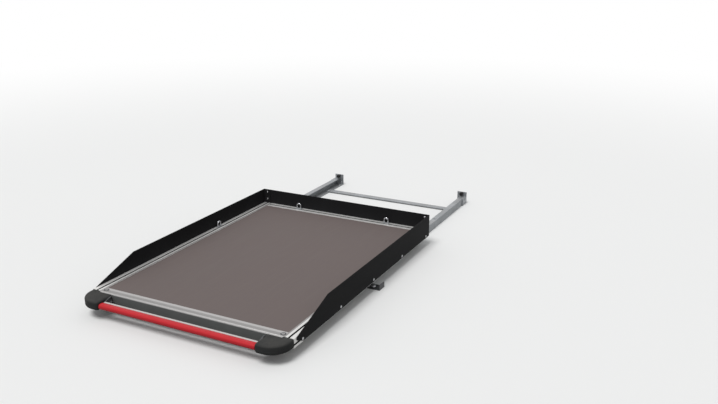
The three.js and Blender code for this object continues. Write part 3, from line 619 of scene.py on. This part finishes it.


# %% [markdown]
# ## Tray frame, deck and boards
#
# The side and rear profiles have a slot that shows as a dark line between two bright
# ridges. Its inner faces get a dark finish of their own, which paints the shade in the
# slot and some grime. The side profiles also have a dull strip next to the deck. The
# front profile has only a shallow groove between two lips, with a darker tone that
# paints its shade. The boards are folded from thin plate, so their edges get a slightly
# larger radius, and the deck's edge is sawn.

# %% Slots and groove
SLOT_HALF = 0.0085
SLOT_DEEP = 0.0115
SLOT_FROM = 0.0005
SIDE_SLOT_RISE = 0.015
DULL_STRIP = 0.0075
GROOVE_FROM = 0.012
GROOVE_TO = 0.031
GROOVE_SLOPE = 0.0015
GROOVE_DEEP = 0.0004
NEAR = 0.00001


def split(shape, point, normal):
    """Cuts every face along a plane."""
    whole = shape.verts[:] + shape.edges[:] + shape.faces[:]
    bmesh.ops.bisect_plane(shape, geom=whole, plane_co=point, plane_no=normal)


def shade_and_grime_in_slot(across):
    """Marks the inner faces of the slot in the top of a profile, for the dark finish that paints
    their shade and some grime.
    """
    def detail(shape, low, high):
        middle = (low[across] + high[across]) / 2
        for face in shape.faces:
            place = face.calc_center_median()
            beside = abs(place[across] - middle)
            if beside < SLOT_HALF and SLOT_FROM < high.z - place.z < SLOT_DEEP:
                face.material_index = 1
    return detail


def slot_shade_grime_and_strip(shape, low, high):
    """Marks both slots of a side profile, for painted shade and some grime, and the dull strip on
    its top next to the deck.
    """
    sign = 1 if low.x > 0 else -1
    strip_end = min(abs(low.x), abs(high.x)) + DULL_STRIP
    split(shape, (sign * strip_end, 0, 0), (1, 0, 0))
    shade_and_grime_in_slot(0)(shape, low, high)
    outer = max(abs(low.x), abs(high.x))
    for face in shape.faces:
        place = face.calc_center_median()
        above = abs(place.z - low.z - SIDE_SLOT_RISE)
        if high.z - place.z < SLOT_FROM and abs(place.x) < strip_end:
            face.material_index = 2
        elif above < SLOT_HALF and SLOT_FROM < outer - abs(place.x) < SLOT_DEEP:
            face.material_index = 1


def shallow_groove(shape, low, high):
    """Presses a shallow groove into the top of the front profile and marks it for the darker tone
    that paints its shade.
    """
    floor_from, floor_to = GROOVE_FROM + GROOVE_SLOPE, GROOVE_TO - GROOVE_SLOPE
    for cut in (GROOVE_FROM, floor_from, floor_to, GROOVE_TO):
        split(shape, (0, low.y + cut, 0), (0, 1, 0))
    for vert in shape.verts:
        back = vert.co.y - low.y
        if vert.co.z > high.z - NEAR and floor_from - NEAR < back < floor_to + NEAR:
            vert.co.z -= GROOVE_DEEP
    for face in shape.faces:
        place = face.calc_center_median()
        if place.z > high.z - 2 * GROOVE_DEEP and GROOVE_FROM < place.y - low.y < GROOVE_TO:
            face.material_index = 1


print("slot", 2 * SLOT_HALF, "m wide inside, groove", GROOVE_DEEP, "m deep")

# %% Tray frame, deck and boards
for node in ("side_profile_left", "side_profile_right"):
    ease(node, aluminium_along, 0.0005, detail=slot_shade_grime_and_strip, more=[slot_shade_and_grime, aluminium_strip])
for node in ("tray_runner_left", "tray_runner_right"):
    ease(node, aluminium_along, 0.0005)
ease("rear_profile", aluminium_across, 0.0005, detail=shade_and_grime_in_slot(1), more=[slot_shade_and_grime])
ease("front_profile", aluminium_front, 0.0005, detail=shallow_groove, more=[aluminium_groove_shade])
for node in ("bearer_1", "bearer_2", "bearer_3"):
    ease(node, aluminium_front, 0.0005)
ease("deck_panel", film, 0.0007)
for node in ("side_board_left", "side_board_right", "rear_board"):
    ease(node, powder_black, 0.0009)
print("tray frame, deck and boards eased")

# %% [markdown]
# ## Rails, cross bars, feet and stops
#
# The rails, cross bars and end stops are rolled or folded steel with zinc plate. They
# carry the load on the bed floor. The feet are of darker steel, and the buffers and the
# travel stops are rubber.

# %% Rails, cross bars, feet and stops
for side in ("left", "right"):
    ease(f"base_rail_{side}", zinc, 0.0009)
    ease(f"mounting_foot_{side}", dark_steel, 0.0011)
    ease(f"end_stop_{side}", zinc, 0.0009)
    ease(f"stop_buffer_{side}", rubber, 0.0016, 3)
    ease(f"travel_stop_{side}", rubber, 0.0012)
for place in ("rear", "middle", "front"):
    ease(f"cross_bar_{place}", zinc, 0.0006)
print("base eased")

# %% [markdown]
# ## Release bar, levers, rods and locks
#
# The red grip is pushed onto a hollow metal core, which shows as a pale strip behind it.
# Levers at its ends draw two rods, and the rods lift the lock pins. Rods, pins and the
# rollers' axles are of turned steel.

# %% Release, locks and axles
ease("release_bar_core", aluminium_core, 0.0004)
ease("handle_pan", pan_moulding, 0.0009)
for side in ("left", "right"):
    ease(f"release_lever_{side}", dark_steel, 0.0004)
    ease(f"lock_housing_{side}", zinc, 0.0006)
    ease(f"release_rod_{side}", turned_steel, 0.0)
    ease(f"lock_pin_{side}", turned_steel, 0.0005)
    ease(f"tray_axle_{side}", turned_steel, 0.0004)
    for place in ("rear", "front"):
        ease(f"base_axle_{place}_{side}", turned_steel, 0.0004)
print("release, locks and axles eased")

# %% [markdown]
# ## Handle corners
#
# Each end of the handle is a moulded grey corner with a wide outer radius. Its outline
# is drawn with arcs. The same outline, drawn in a little at each height, gives the rings
# of the body: a rounded lower edge, a fine parting line and a rounding on top. Its rear
# steps round the front profile's end and laps the side profile's.

# %% Rings of a rounded shape
def quarter_turn(steps):
    """Sine and cosine at even steps from 0 to 90 degrees."""
    angles = [step / steps * math.pi / 2 for step in range(steps + 1)]
    return [(math.sin(angle), math.cos(angle)) for angle in angles]


def ring(x0, x1, y0, y1, radii, steps):
    """Points of a rectangle with a radius at each corner, anticlockwise from its lower left."""
    corners = ((x0, y0, 2), (x1, y0, 3), (x1, y1, 0), (x0, y1, 1))
    points = []
    for (x, y, quarter), radius, count in zip(corners, radii, steps):
        centre_x = x + radius if x == x0 else x - radius
        centre_y = y + radius if y == y0 else y - radius
        for step in range(count + 1):
            angle = (quarter + step / count) * math.pi / 2
            across, along = radius * math.cos(angle), radius * math.sin(angle)
            points.append((centre_x + across, centre_y + along))
    return points


def loft(shape, rings, round_trip=False):
    """Joins rings of equal length into a body, with flat ends or back to the first ring."""
    rows = [[shape.verts.new(point) for point in points] for points in rings]
    followers = rows[1:] + rows[:1] if round_trip else rows[1:]
    for lower, upper in zip(rows, followers):
        for index in range(len(lower)):
            after = (index + 1) % len(lower)
            shape.faces.new((lower[index], lower[after], upper[after], upper[index]))
    if not round_trip:
        shape.faces.new(list(reversed(rows[0])))
        shape.faces.new(rows[-1])


def to_piece(shape, name, body, materials, angle=35):
    """Turns the shape's faces outward, smooths it and makes it a piece."""
    bmesh.ops.recalc_face_normals(shape, faces=shape.faces)
    mesh = bpy.data.meshes.new(name)
    to_mesh(shape, mesh, angle)
    return add_piece(name, mesh, body, materials)


# %% Outline of a corner at one height
CORNER_WIDTH = 0.114
CORNER_ROUND = 0.082
CORNER_NOSE = 0.011
NOSE_STEPS = 10
WIDE_STEPS = 40
EDGE_STEPS = 7
BODY_LOW = 0.0095
BODY_TOP = 0.0085
PARTING = 0.0006
PARTING_AT = 0.4


def corner_levels(low, high):
    """How far the outline is drawn in at each height, from the bottom up."""
    turn = quarter_turn(EDGE_STEPS)
    levels = [(BODY_LOW * (1 - sine), low + BODY_LOW * (1 - cosine)) for sine, cosine in turn]
    seam = low + (high - low) * PARTING_AT
    levels += [(0, seam - PARTING), (PARTING, seam - PARTING / 2), (PARTING, seam + PARTING / 2)]
    levels.append((0, seam + PARTING))
    for sine, cosine in turn:
        levels.append((BODY_TOP * (1 - cosine), high - BODY_TOP * (1 - sine)))
    return levels


def arc_points(x, y, radius, start, end, count):
    """Points of an arc, from one angle to another."""
    angles = [start + (end - start) * step / count for step in range(count + 1)]
    return [(x + radius * math.cos(angle), y + radius * math.sin(angle)) for angle in angles]


def corner_outline(inset, outer, front, edge, rear, profile_end):
    """The outline, drawn in by inset, anticlockwise from its nose."""
    inner = outer - CORNER_WIDTH
    left, ahead, right_way = math.pi, 1.5 * math.pi, 2 * math.pi
    nose = (inner + CORNER_NOSE, front + CORNER_NOSE, CORNER_NOSE - inset)
    wide = (outer - CORNER_ROUND, front + CORNER_ROUND, CORNER_ROUND - inset)
    points = arc_points(*nose, left, ahead, NOSE_STEPS)
    points += arc_points(*wide, ahead, right_way, WIDE_STEPS)
    inside, outside = inner + inset, outer - inset
    points += [(outside, rear), (profile_end, rear), (profile_end, edge), (inside, edge)]
    return points


print("levels of a corner:", len(corner_levels(0.046, 0.085)))

# %% Both corners, with the boss that the lever turns on
BOSS_RADIUS = 0.004
BOSS_SIDES = 32
BOSS_SUNK = 0.006
PIVOT_AHEAD = 0.014
PIVOT_DROP = 0.009


def handle_corner(side):
    node = f"handle_cap_{side}"
    sign = 1 if side == "right" else -1
    low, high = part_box(node)
    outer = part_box("side_profile_right")[1].x
    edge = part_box("front_profile")[0].y
    profile_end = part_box("front_profile")[1].x
    boss_end = min(abs(low.x), abs(high.x))
    boss_root = outer - CORNER_WIDTH + BOSS_SUNK
    shape = bmesh.new()
    rings = []
    for inset, height in corner_levels(low.z, high.z):
        outline = corner_outline(inset, outer, low.y, edge, high.y, profile_end)
        rings.append([(sign * x, y, height) for x, y in outline])
    loft(shape, rings)
    middle = sign * (boss_end + boss_root) / 2
    pivot = Vector((middle, edge - PIVOT_AHEAD, high.z - PIVOT_DROP))
    along = Matrix.Rotation(math.pi / 2, 4, "Y")
    bmesh.ops.create_cone(
        shape, cap_ends=True, segments=BOSS_SIDES, radius1=BOSS_RADIUS, radius2=BOSS_RADIUS,
        depth=boss_root - boss_end, matrix=Matrix.Translation(pivot) @ along,
    )
    body = to_piece(shape, f"{node}_moulded", "tray", [grey_moulding], 38)
    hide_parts(node)
    return len(body.data.polygons)


print("faces of the corners:", handle_corner("left"), handle_corner("right"))

# %% [markdown]
# ## Red grip
#
# The grip is a long moulding with a full round front, which fills the palm, and a flat
# back on the metal core. It could be swept along a curve. As its section never
# changes, a loft of one ring from end to end is simpler, drawn in at both ends.

# %% Grip
GRIP_FRONT = 0.01
GRIP_BACK = 0.003
GRIP_END = 0.0018
GRIP_LEAST = 0.0006
GRIP_STEPS = (12, 4, 4, 12)
END_STEPS = 4
GRIP_PARTS = 24


def red_grip():
    low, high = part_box("release_grip")
    stations = []
    for sine, cosine in quarter_turn(END_STEPS):
        stations.append((low.x + GRIP_END * (1 - cosine), GRIP_END * (1 - sine)))
    other_end = [(low.x + high.x - x, inset) for x, inset in reversed(stations)]
    for part in range(1, GRIP_PARTS):
        stations.append((low.x + (high.x - low.x) * part / GRIP_PARTS, 0.0))
    stations += other_end
    shape = bmesh.new()
    rings = []
    for x, inset in stations:
        wanted = (GRIP_FRONT, GRIP_BACK, GRIP_BACK, GRIP_FRONT)
        radii = [max(radius - inset, GRIP_LEAST) for radius in wanted]
        edges = (low.y + inset, high.y - inset, low.z + inset, high.z - inset)
        section = ring(*edges, radii, GRIP_STEPS)
        rings.append([(x, y, z) for y, z in section])
    loft(shape, rings)
    grip = to_piece(shape, "release_grip_moulded", "release_bar", [red_moulding])
    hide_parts("release_grip")
    return len(grip.data.polygons)


print("faces of the grip:", red_grip())

# %% [markdown]
# ## Rollers
#
# A roller is a nylon tyre on a ball bearing, of which the steel shields show. A turned
# part is a profile spun round its axis, so each roller is a list of radii and
# distances, set at even angles and joined into a wheel. Faces close to the axis get the
# steel finish.

# %% Rollers
TURN_STEPS = 56
BORE = 0.0043
SHIELD_DEEP = 0.0006
SHIELD_OUT = 0.72
SHIELD_IN = 0.46
TYRE_EASE = 0.0015
TYRE_CHAMFER = 0.0005


def roller(node):
    low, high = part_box(node)
    centre = (low + high) / 2
    radius = (high.z - low.z) / 2
    width = high.x - low.x
    ring_out = radius * SHIELD_OUT
    ring_in = radius * SHIELD_IN
    half = [
        (BORE, 0.0), (ring_in, 0.0), (ring_in, SHIELD_DEEP), (ring_out, SHIELD_DEEP),
        (ring_out, 0.0), (radius - TYRE_EASE, 0.0),
        (radius - TYRE_CHAMFER, TYRE_CHAMFER), (radius, TYRE_EASE),
    ]
    profile = half + [(r, width - along) for r, along in reversed(half)]
    shape = bmesh.new()
    rings = []
    for step in range(TURN_STEPS):
        angle = step / TURN_STEPS * 2 * math.pi
        sine, cosine = math.sin(angle), math.cos(angle)
        rings.append([
            (low.x + along, centre.y + r * cosine, centre.z + r * sine) for r, along in profile
        ])
    loft(shape, rings, round_trip=True)
    for index, face in enumerate(shape.faces):
        start, end = profile[index % len(profile)], profile[(index + 1) % len(profile)]
        face.material_index = 1 if (start[0] + end[0]) / 2 < ring_out else 0
    body = body_of_node[node]
    piece = to_piece(shape, f"{node}_turned", body, [nylon, turned_steel], 28)
    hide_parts(node)
    return radius


rollers = [node for node in frame["nodes"] if "roller" in node]
for node in rollers:
    print(node, "radius", round(roller(node), 4))

# %% [markdown]
# ## Lashing eyes
#
# Each eye is a round wire bent to an arch on a small plate. The wire could be a curve
# with depth. Here a circle is carried along the bent path as rings, which keeps the
# piece a plain mesh, and the plate is a low loft with rounded corners.

# %% Eyes
WIRE_RADIUS = 0.0032
WIRE_SIDES = 20
ARCH_STEPS = 20
PLATE_THICKNESS = 0.003
PLATE_CORNER = 0.0045
PLATE_EASE = 0.0008
PLATE_STEPS = 6
EYE_INSIDE = 0.008


def wire_rings(centre, along, leg, spring, foot):
    """Rings of the arch: up one leg, round the top and down the other."""
    path = [(-leg, foot, 0.0)]
    for step in range(ARCH_STEPS + 1):
        angle = math.pi * (1 - step / ARCH_STEPS)
        path.append((leg * math.cos(angle), spring + leg * math.sin(angle), math.pi - angle))
    path.append((leg, foot, math.pi))
    across = Vector((0, 0, 1)).cross(along)
    rings = []
    for sideways, height, bend in path:
        outward = along * -math.cos(bend) + Vector((0, 0, math.sin(bend)))
        middle = centre + along * sideways + Vector((0, 0, height))
        points = []
        for side in range(WIRE_SIDES):
            angle = side / WIRE_SIDES * 2 * math.pi
            reach = outward * WIRE_RADIUS * math.cos(angle)
            points.append(middle + reach + across * WIRE_RADIUS * math.sin(angle))
        rings.append(points)
    return rings


def lashing_eye(node, along):
    low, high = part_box(node)
    centre = Vector(((low.x + high.x) / 2, (low.y + high.y) / 2, low.z))
    leg = EYE_INSIDE + WIRE_RADIUS
    spring = high.z - low.z - WIRE_RADIUS - leg
    shape = bmesh.new()
    loft(shape, wire_rings(centre, along, leg, spring, PLATE_THICKNESS / 2))
    wire_faces = len(shape.faces)
    rings = []
    eased = PLATE_THICKNESS - PLATE_EASE
    for inset, height in ((0, 0), (0, eased), (PLATE_EASE, PLATE_THICKNESS)):
        edges = (low.x + inset, high.x - inset, low.y + inset, high.y - inset)
        outline = ring(*edges, [PLATE_CORNER - inset] * 4, [PLATE_STEPS] * 4)
        rings.append([(x, y, low.z + height) for x, y in outline])
    loft(shape, rings)
    for face in list(shape.faces)[wire_faces:]:
        face.material_index = 1
    piece = to_piece(shape, f"{node}_bent", "tray", [plated_eye, zinc])
    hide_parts(node)
    return len(piece.data.polygons)


for side in ("left", "right"):
    print("side eye", side, lashing_eye(f"lashing_eye_side_{side}", Vector((0, 1, 0))), "faces")
    print("rear eye", side, lashing_eye(f"lashing_eye_rear_{side}", Vector((1, 0, 0))), "faces")

# %% [markdown]
# ## Screws and bolts
#
# The same few heads come back dozens of times: low domed heads with a hexagon socket on
# the boards, profiles, cross bars, feet and stops, and hexagon heads at the bed floor.
# Each could be copied by hand. Geometry Nodes do it better: points carry the direction
# that each head faces, one tree builds the head from its sizes and puts it on every
# point, and a fixed seed turns each one a little differently, as a wrench leaves them.

# %% Helpers for a tree of nodes
def open_tree(name, sizes):
    """A Geometry Nodes tree for heads with named sizes, a seed and a finish."""
    inputs = {"Points": "Geometry", **sizes, "Seed": 7, "Finish": "Material"}
    return open_group(name, "GeometryNodeTree", inputs, "Heads", "Geometry")


def triple(tree, x, y, z):
    """A vector from three sockets or numbers."""
    return add_node(tree, "ShaderNodeCombineXYZ", {0: x, 1: y, 2: z}).outputs[0]


def move_shape(tree, shape, **change):
    """Moves or scales a shape. The change is named Translation or Scale."""
    return add_node(tree, "GeometryNodeTransform", {"Geometry": shape, **change}).outputs[0]


def cylinder_shape(tree, sides, radius, depth):
    """An upright cylinder round the origin."""
    inputs = {"Vertices": sides, "Radius": radius, "Depth": depth}
    return add_node(tree, "GeometryNodeMeshCylinder", inputs).outputs["Mesh"]


def ball_shape(tree, segments, rings):
    """A ball with a radius of 1 round the origin."""
    inputs = {"Segments": segments, "Rings": rings, "Radius": 1.0}
    return add_node(tree, "GeometryNodeMeshUVSphere", inputs).outputs["Mesh"]


def boolean(tree, operation, first, second):
    """Cuts or intersects two shapes. An intersection takes both in its second input."""
    node = add_node(tree, "GeometryNodeMeshBoolean", operation=operation, solver="EXACT")
    tree.links.new(first, node.inputs[0 if operation == "DIFFERENCE" else 1])
    tree.links.new(second, node.inputs[1])
    return node.outputs[0]


def on_points(tree, entry, head, disc, sides):
    """Puts a head with its disc on every point, turned by the seed, and gives it its finish."""
    depth = number(tree, "MULTIPLY", entry[f"{disc} Height"], 2.0)
    both = tree.nodes.new("GeometryNodeJoinGeometry")
    for shape in (head, cylinder_shape(tree, sides, entry[disc], depth)):
        tree.links.new(shape, both.inputs[0])
    outward = add_node(
        tree, "GeometryNodeInputNamedAttribute", {"Name": "outward"}, data_type="FLOAT_VECTOR"
    ).outputs["Attribute"]
    aim = add_node(tree, "FunctionNodeAlignRotationToVector", {"Vector": outward}, axis="Z")
    place = add_node(tree, "GeometryNodeInstanceOnPoints", {
        "Points": entry["Points"], "Instance": both.outputs[0], "Rotation": aim.outputs["Rotation"],
    })
    chance = add_node(tree, "FunctionNodeRandomValue", {3: math.pi, "Seed": entry["Seed"]})
    spin = add_node(tree, "GeometryNodeRotateInstances", {
        "Instances": place.outputs["Instances"],
        "Rotation": triple(tree, 0.0, 0.0, chance.outputs[1]),
    })
    real = add_node(tree, "GeometryNodeRealizeInstances", {"Geometry": spin.outputs["Instances"]})
    paint = add_node(tree, "GeometryNodeSetMaterial", {
        "Geometry": real.outputs["Geometry"], "Material": entry["Finish"],
    })
    add_node(tree, "NodeGroupOutput", {"Heads": paint.outputs["Geometry"]})
    print(tree.name, "nodes:", len(tree.nodes))
    return tree


# %% Domed head: a flattened ball on a thin collar, with a hexagon socket cut in
tree, entry = open_tree(
    "domed_head", {"Radius": 0.0055, "Height": 0.0026, "Collar": 0.0066, "Collar Height": 0.0006}
)
smooth = add_node(
    tree, "GeometryNodeSetShadeSmooth", {"Geometry": ball_shape(tree, 24, 12)}
).outputs["Geometry"]
flattened = triple(tree, entry["Radius"], entry["Radius"], entry["Height"])
dome = move_shape(tree, smooth, Scale=flattened)
socket_radius = number(tree, "MULTIPLY", entry["Radius"], 0.5)
socket_depth = number(tree, "MULTIPLY", entry["Height"], 1.1)
key_hole = cylinder_shape(tree, 6, socket_radius, socket_depth)
raised = move_shape(tree, key_hole, Translation=triple(tree, 0.0, 0.0, entry["Height"]))
carved = boolean(tree, "DIFFERENCE", dome, raised)
domed_head = on_points(tree, entry, carved, "Collar", 28)

# %% Hexagon head: a six-sided prism rounded by a ball, on a washer
tree, entry = open_tree(
    "hexagon_head", {"Radius": 0.0075, "Height": 0.0052, "Washer": 0.0105, "Washer Height": 0.0015}
)
half_height = number(tree, "MULTIPLY", entry["Height"], 0.5)
sunk_prism = cylinder_shape(tree, 6, entry["Radius"], entry["Height"])
lift = triple(tree, 0.0, 0.0, half_height)
prism = move_shape(tree, sunk_prism, Translation=lift)
wide = number(tree, "MULTIPLY", entry["Radius"], 1.3)
tall = number(tree, "MULTIPLY", entry["Height"], 1.42)
round_off = ball_shape(tree, 32, 16)
rounder = move_shape(tree, round_off, Scale=triple(tree, wide, wide, tall))
met = boolean(tree, "INTERSECT", prism, rounder)
hexagon_head = on_points(tree, entry, met, "Washer", 32)

# %% Helper that turns a list of places into one mesh of heads
def make_heads(name, body, tree, places, finish_used, **sizes):
    """places is a list of (point, direction). The result is a plain mesh that rides on body."""
    mesh = bpy.data.meshes.new(name)
    mesh.from_pydata([tuple(point) for point, _ in places], [], [])
    directions = mesh.attributes.new("outward", "FLOAT_VECTOR", "POINT")
    for index, (_, direction) in enumerate(places):
        directions.data[index].vector = direction
    holder = bpy.data.objects.new(name, mesh)
    bpy.context.scene.collection.objects.link(holder)
    modifier = holder.modifiers.new("heads", "NODES")
    modifier.node_group = tree
    values = {label.replace("_", " "): value for label, value in sizes.items()}
    values["Finish"] = finish_used
    for item in tree.interface.items_tree:
        if item.in_out == "INPUT" and item.name in values:
            modifier[item.identifier] = values[item.name]
    evaluated = holder.evaluated_get(bpy.context.evaluated_depsgraph_get())
    result = bpy.data.meshes.new_from_object(evaluated)
    holder.modifiers.clear()
    bpy.data.objects.remove(holder)
    result.name = name
    piece = add_piece(name, result, body, [finish_used])
    print(name, len(places), "heads,", len(result.polygons), "faces")
    return piece


# %% [markdown]
# ## Where the heads go
#
# The board bolts stand in a row low on each board, and two screws one above the other
# hold each folded corner. A screw with a dark ring sits near each end of the front
# profile. On the base there are screws where the cross bars meet the rails, in the feet
# and in the end stops, and bolts that go down into the bed floor.

# %% Places on the tray
FRONT_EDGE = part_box("front_profile")[0].y
FRAME_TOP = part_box("front_profile")[1].z
BOARD_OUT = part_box("side_board_right")[1].x
BOARD_SHEET = 0.003
BOARD_BOLTS_Y = (0.069, 0.378, 0.689, 1.0, 1.300)
BOARD_BOLTS_DROP = 0.025
CORNER_SCREWS_X = 0.479
CORNER_SCREWS_Z = (0.064, 0.024)
PROFILE_SCREW_X = 0.442
PROFILE_SCREW_Y = 0.028

UP, OUT, AHEAD = (0, 0, 1), (1, 0, 0), (0, -1, 0)


def mirrored(places):
    """The mirror images of places on the right, and then the places themselves."""
    return [
        ((sign * x, y, z), (sign * out, ahead, up))
        for sign in (-1, 1) for (x, y, z), (out, ahead, up) in places
    ]


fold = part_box("rear_board")[0].y - BOARD_SHEET
bolt_z = FRAME_TOP - BOARD_BOLTS_DROP
board_bolts = mirrored([((BOARD_OUT, FRONT_EDGE + y, bolt_z), OUT) for y in BOARD_BOLTS_Y])
corner_screws = mirrored([
    ((CORNER_SCREWS_X, fold, FRAME_TOP + rise), AHEAD) for rise in CORNER_SCREWS_Z
])
profile_screws = mirrored([((PROFILE_SCREW_X, FRONT_EDGE + PROFILE_SCREW_Y, FRAME_TOP), UP)])

make_heads(
    "board_bolts", "tray", domed_head, board_bolts, turned_steel,
    Radius=0.005, Height=0.0027, Collar=0.0058,
)
make_heads(
    "corner_screws", "tray", domed_head, corner_screws, turned_steel,
    Radius=0.0046, Height=0.002, Collar=0.0052, Collar_Height=0.0004, Seed=3,
)
make_heads(
    "profile_rings", "tray", domed_head, profile_screws, dark_steel,
    Radius=0.002, Height=0.0003, Collar=0.0117, Collar_Height=0.0004, Seed=5,
)
# The heads of the profile screws sit in the groove and take its darker tone, painted shade.
make_heads(
    "profile_screws", "tray", domed_head, profile_screws, aluminium_groove_shade,
    Radius=0.0064, Height=0.0022, Collar=0.0068, Collar_Height=0.0008, Seed=5,
)

# %% Places on the base
RAIL_LOW, RAIL_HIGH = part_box("base_rail_right")
FOOT_LOW, FOOT_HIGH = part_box("mounting_foot_right")
STOP_LOW, STOP_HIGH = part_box("end_stop_right")
RAIL_FLOOR = 0.004
FOOT_PLATE = 0.005
BED_BOLT_X = RAIL_LOW.x + 0.009
BED_BOLT_END = 0.04
FOOT_HOLE_X = RAIL_HIGH.x + 0.041
FOOT_SCREWS_Y = (-0.014, 0.014)
FOOT_SCREWS_Z = 0.019
STOP_SCREWS_Y = (0.018, 0.044)
STOP_SCREWS_Z = 0.021
RAIL_END_SCREWS_X = (0.401, 0.43)
RAIL_END_SCREWS_Z = 0.018
BAR_SCREWS_IN = 0.01
BAR_SCREWS_AT = (0.27, 0.73)

foot_y = (FOOT_LOW.y + FOOT_HIGH.y) / 2
bolts_y = (RAIL_LOW.y + BED_BOLT_END, RAIL_HIGH.y - BED_BOLT_END)
bed_bolts = mirrored([((BED_BOLT_X, y, RAIL_FLOOR), UP) for y in bolts_y])
foot_bolts = mirrored([((FOOT_HOLE_X, foot_y, FOOT_PLATE), UP)])
foot_side = RAIL_HIGH.x + FOOT_PLATE
screws = [((foot_side, foot_y + shift, FOOT_SCREWS_Z), OUT) for shift in FOOT_SCREWS_Y]
screws += [((STOP_HIGH.x, STOP_LOW.y + y, STOP_SCREWS_Z), OUT) for y in STOP_SCREWS_Y]
screws += [((x, RAIL_HIGH.y, RAIL_END_SCREWS_Z), AHEAD) for x in RAIL_END_SCREWS_X]
for place in ("rear", "middle", "front"):
    bar_low, bar_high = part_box(f"cross_bar_{place}")
    for part in BAR_SCREWS_AT:
        y = bar_low.y + (bar_high.y - bar_low.y) * part
        screws.append(((bar_high.x - BAR_SCREWS_IN, y, bar_high.z), UP))
base_screws = mirrored(screws)

make_heads(
    "bed_bolts", "base", hexagon_head, bed_bolts, turned_steel,
    Radius=0.0068, Height=0.0042, Washer=0.0085, Washer_Height=0.001,
)
make_heads(
    "foot_bolts", "base", hexagon_head, foot_bolts, turned_steel,
    Radius=0.0085, Height=0.0065, Washer=0.0115,
)
make_heads(
    "base_screws", "base", domed_head, base_screws, turned_steel,
    Radius=0.0046, Height=0.0019, Collar=0.0052, Collar_Height=0.0004, Seed=11,
)

# %% [markdown]
# ## Close
#
# The last cell prints both boxes, that of the solids and that of the finished look, so
# that they can be compared. The finished look may not be larger.

# %% Sizes and the end
seen_box = [list(corner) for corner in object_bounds()]
for axis, label in enumerate("xyz"):
    solid = [round(corner[axis], 4) for corner in cad_box]
    look = [round(corner[axis], 4) for corner in seen_box]
    print(label, *solid, "seen", *look)
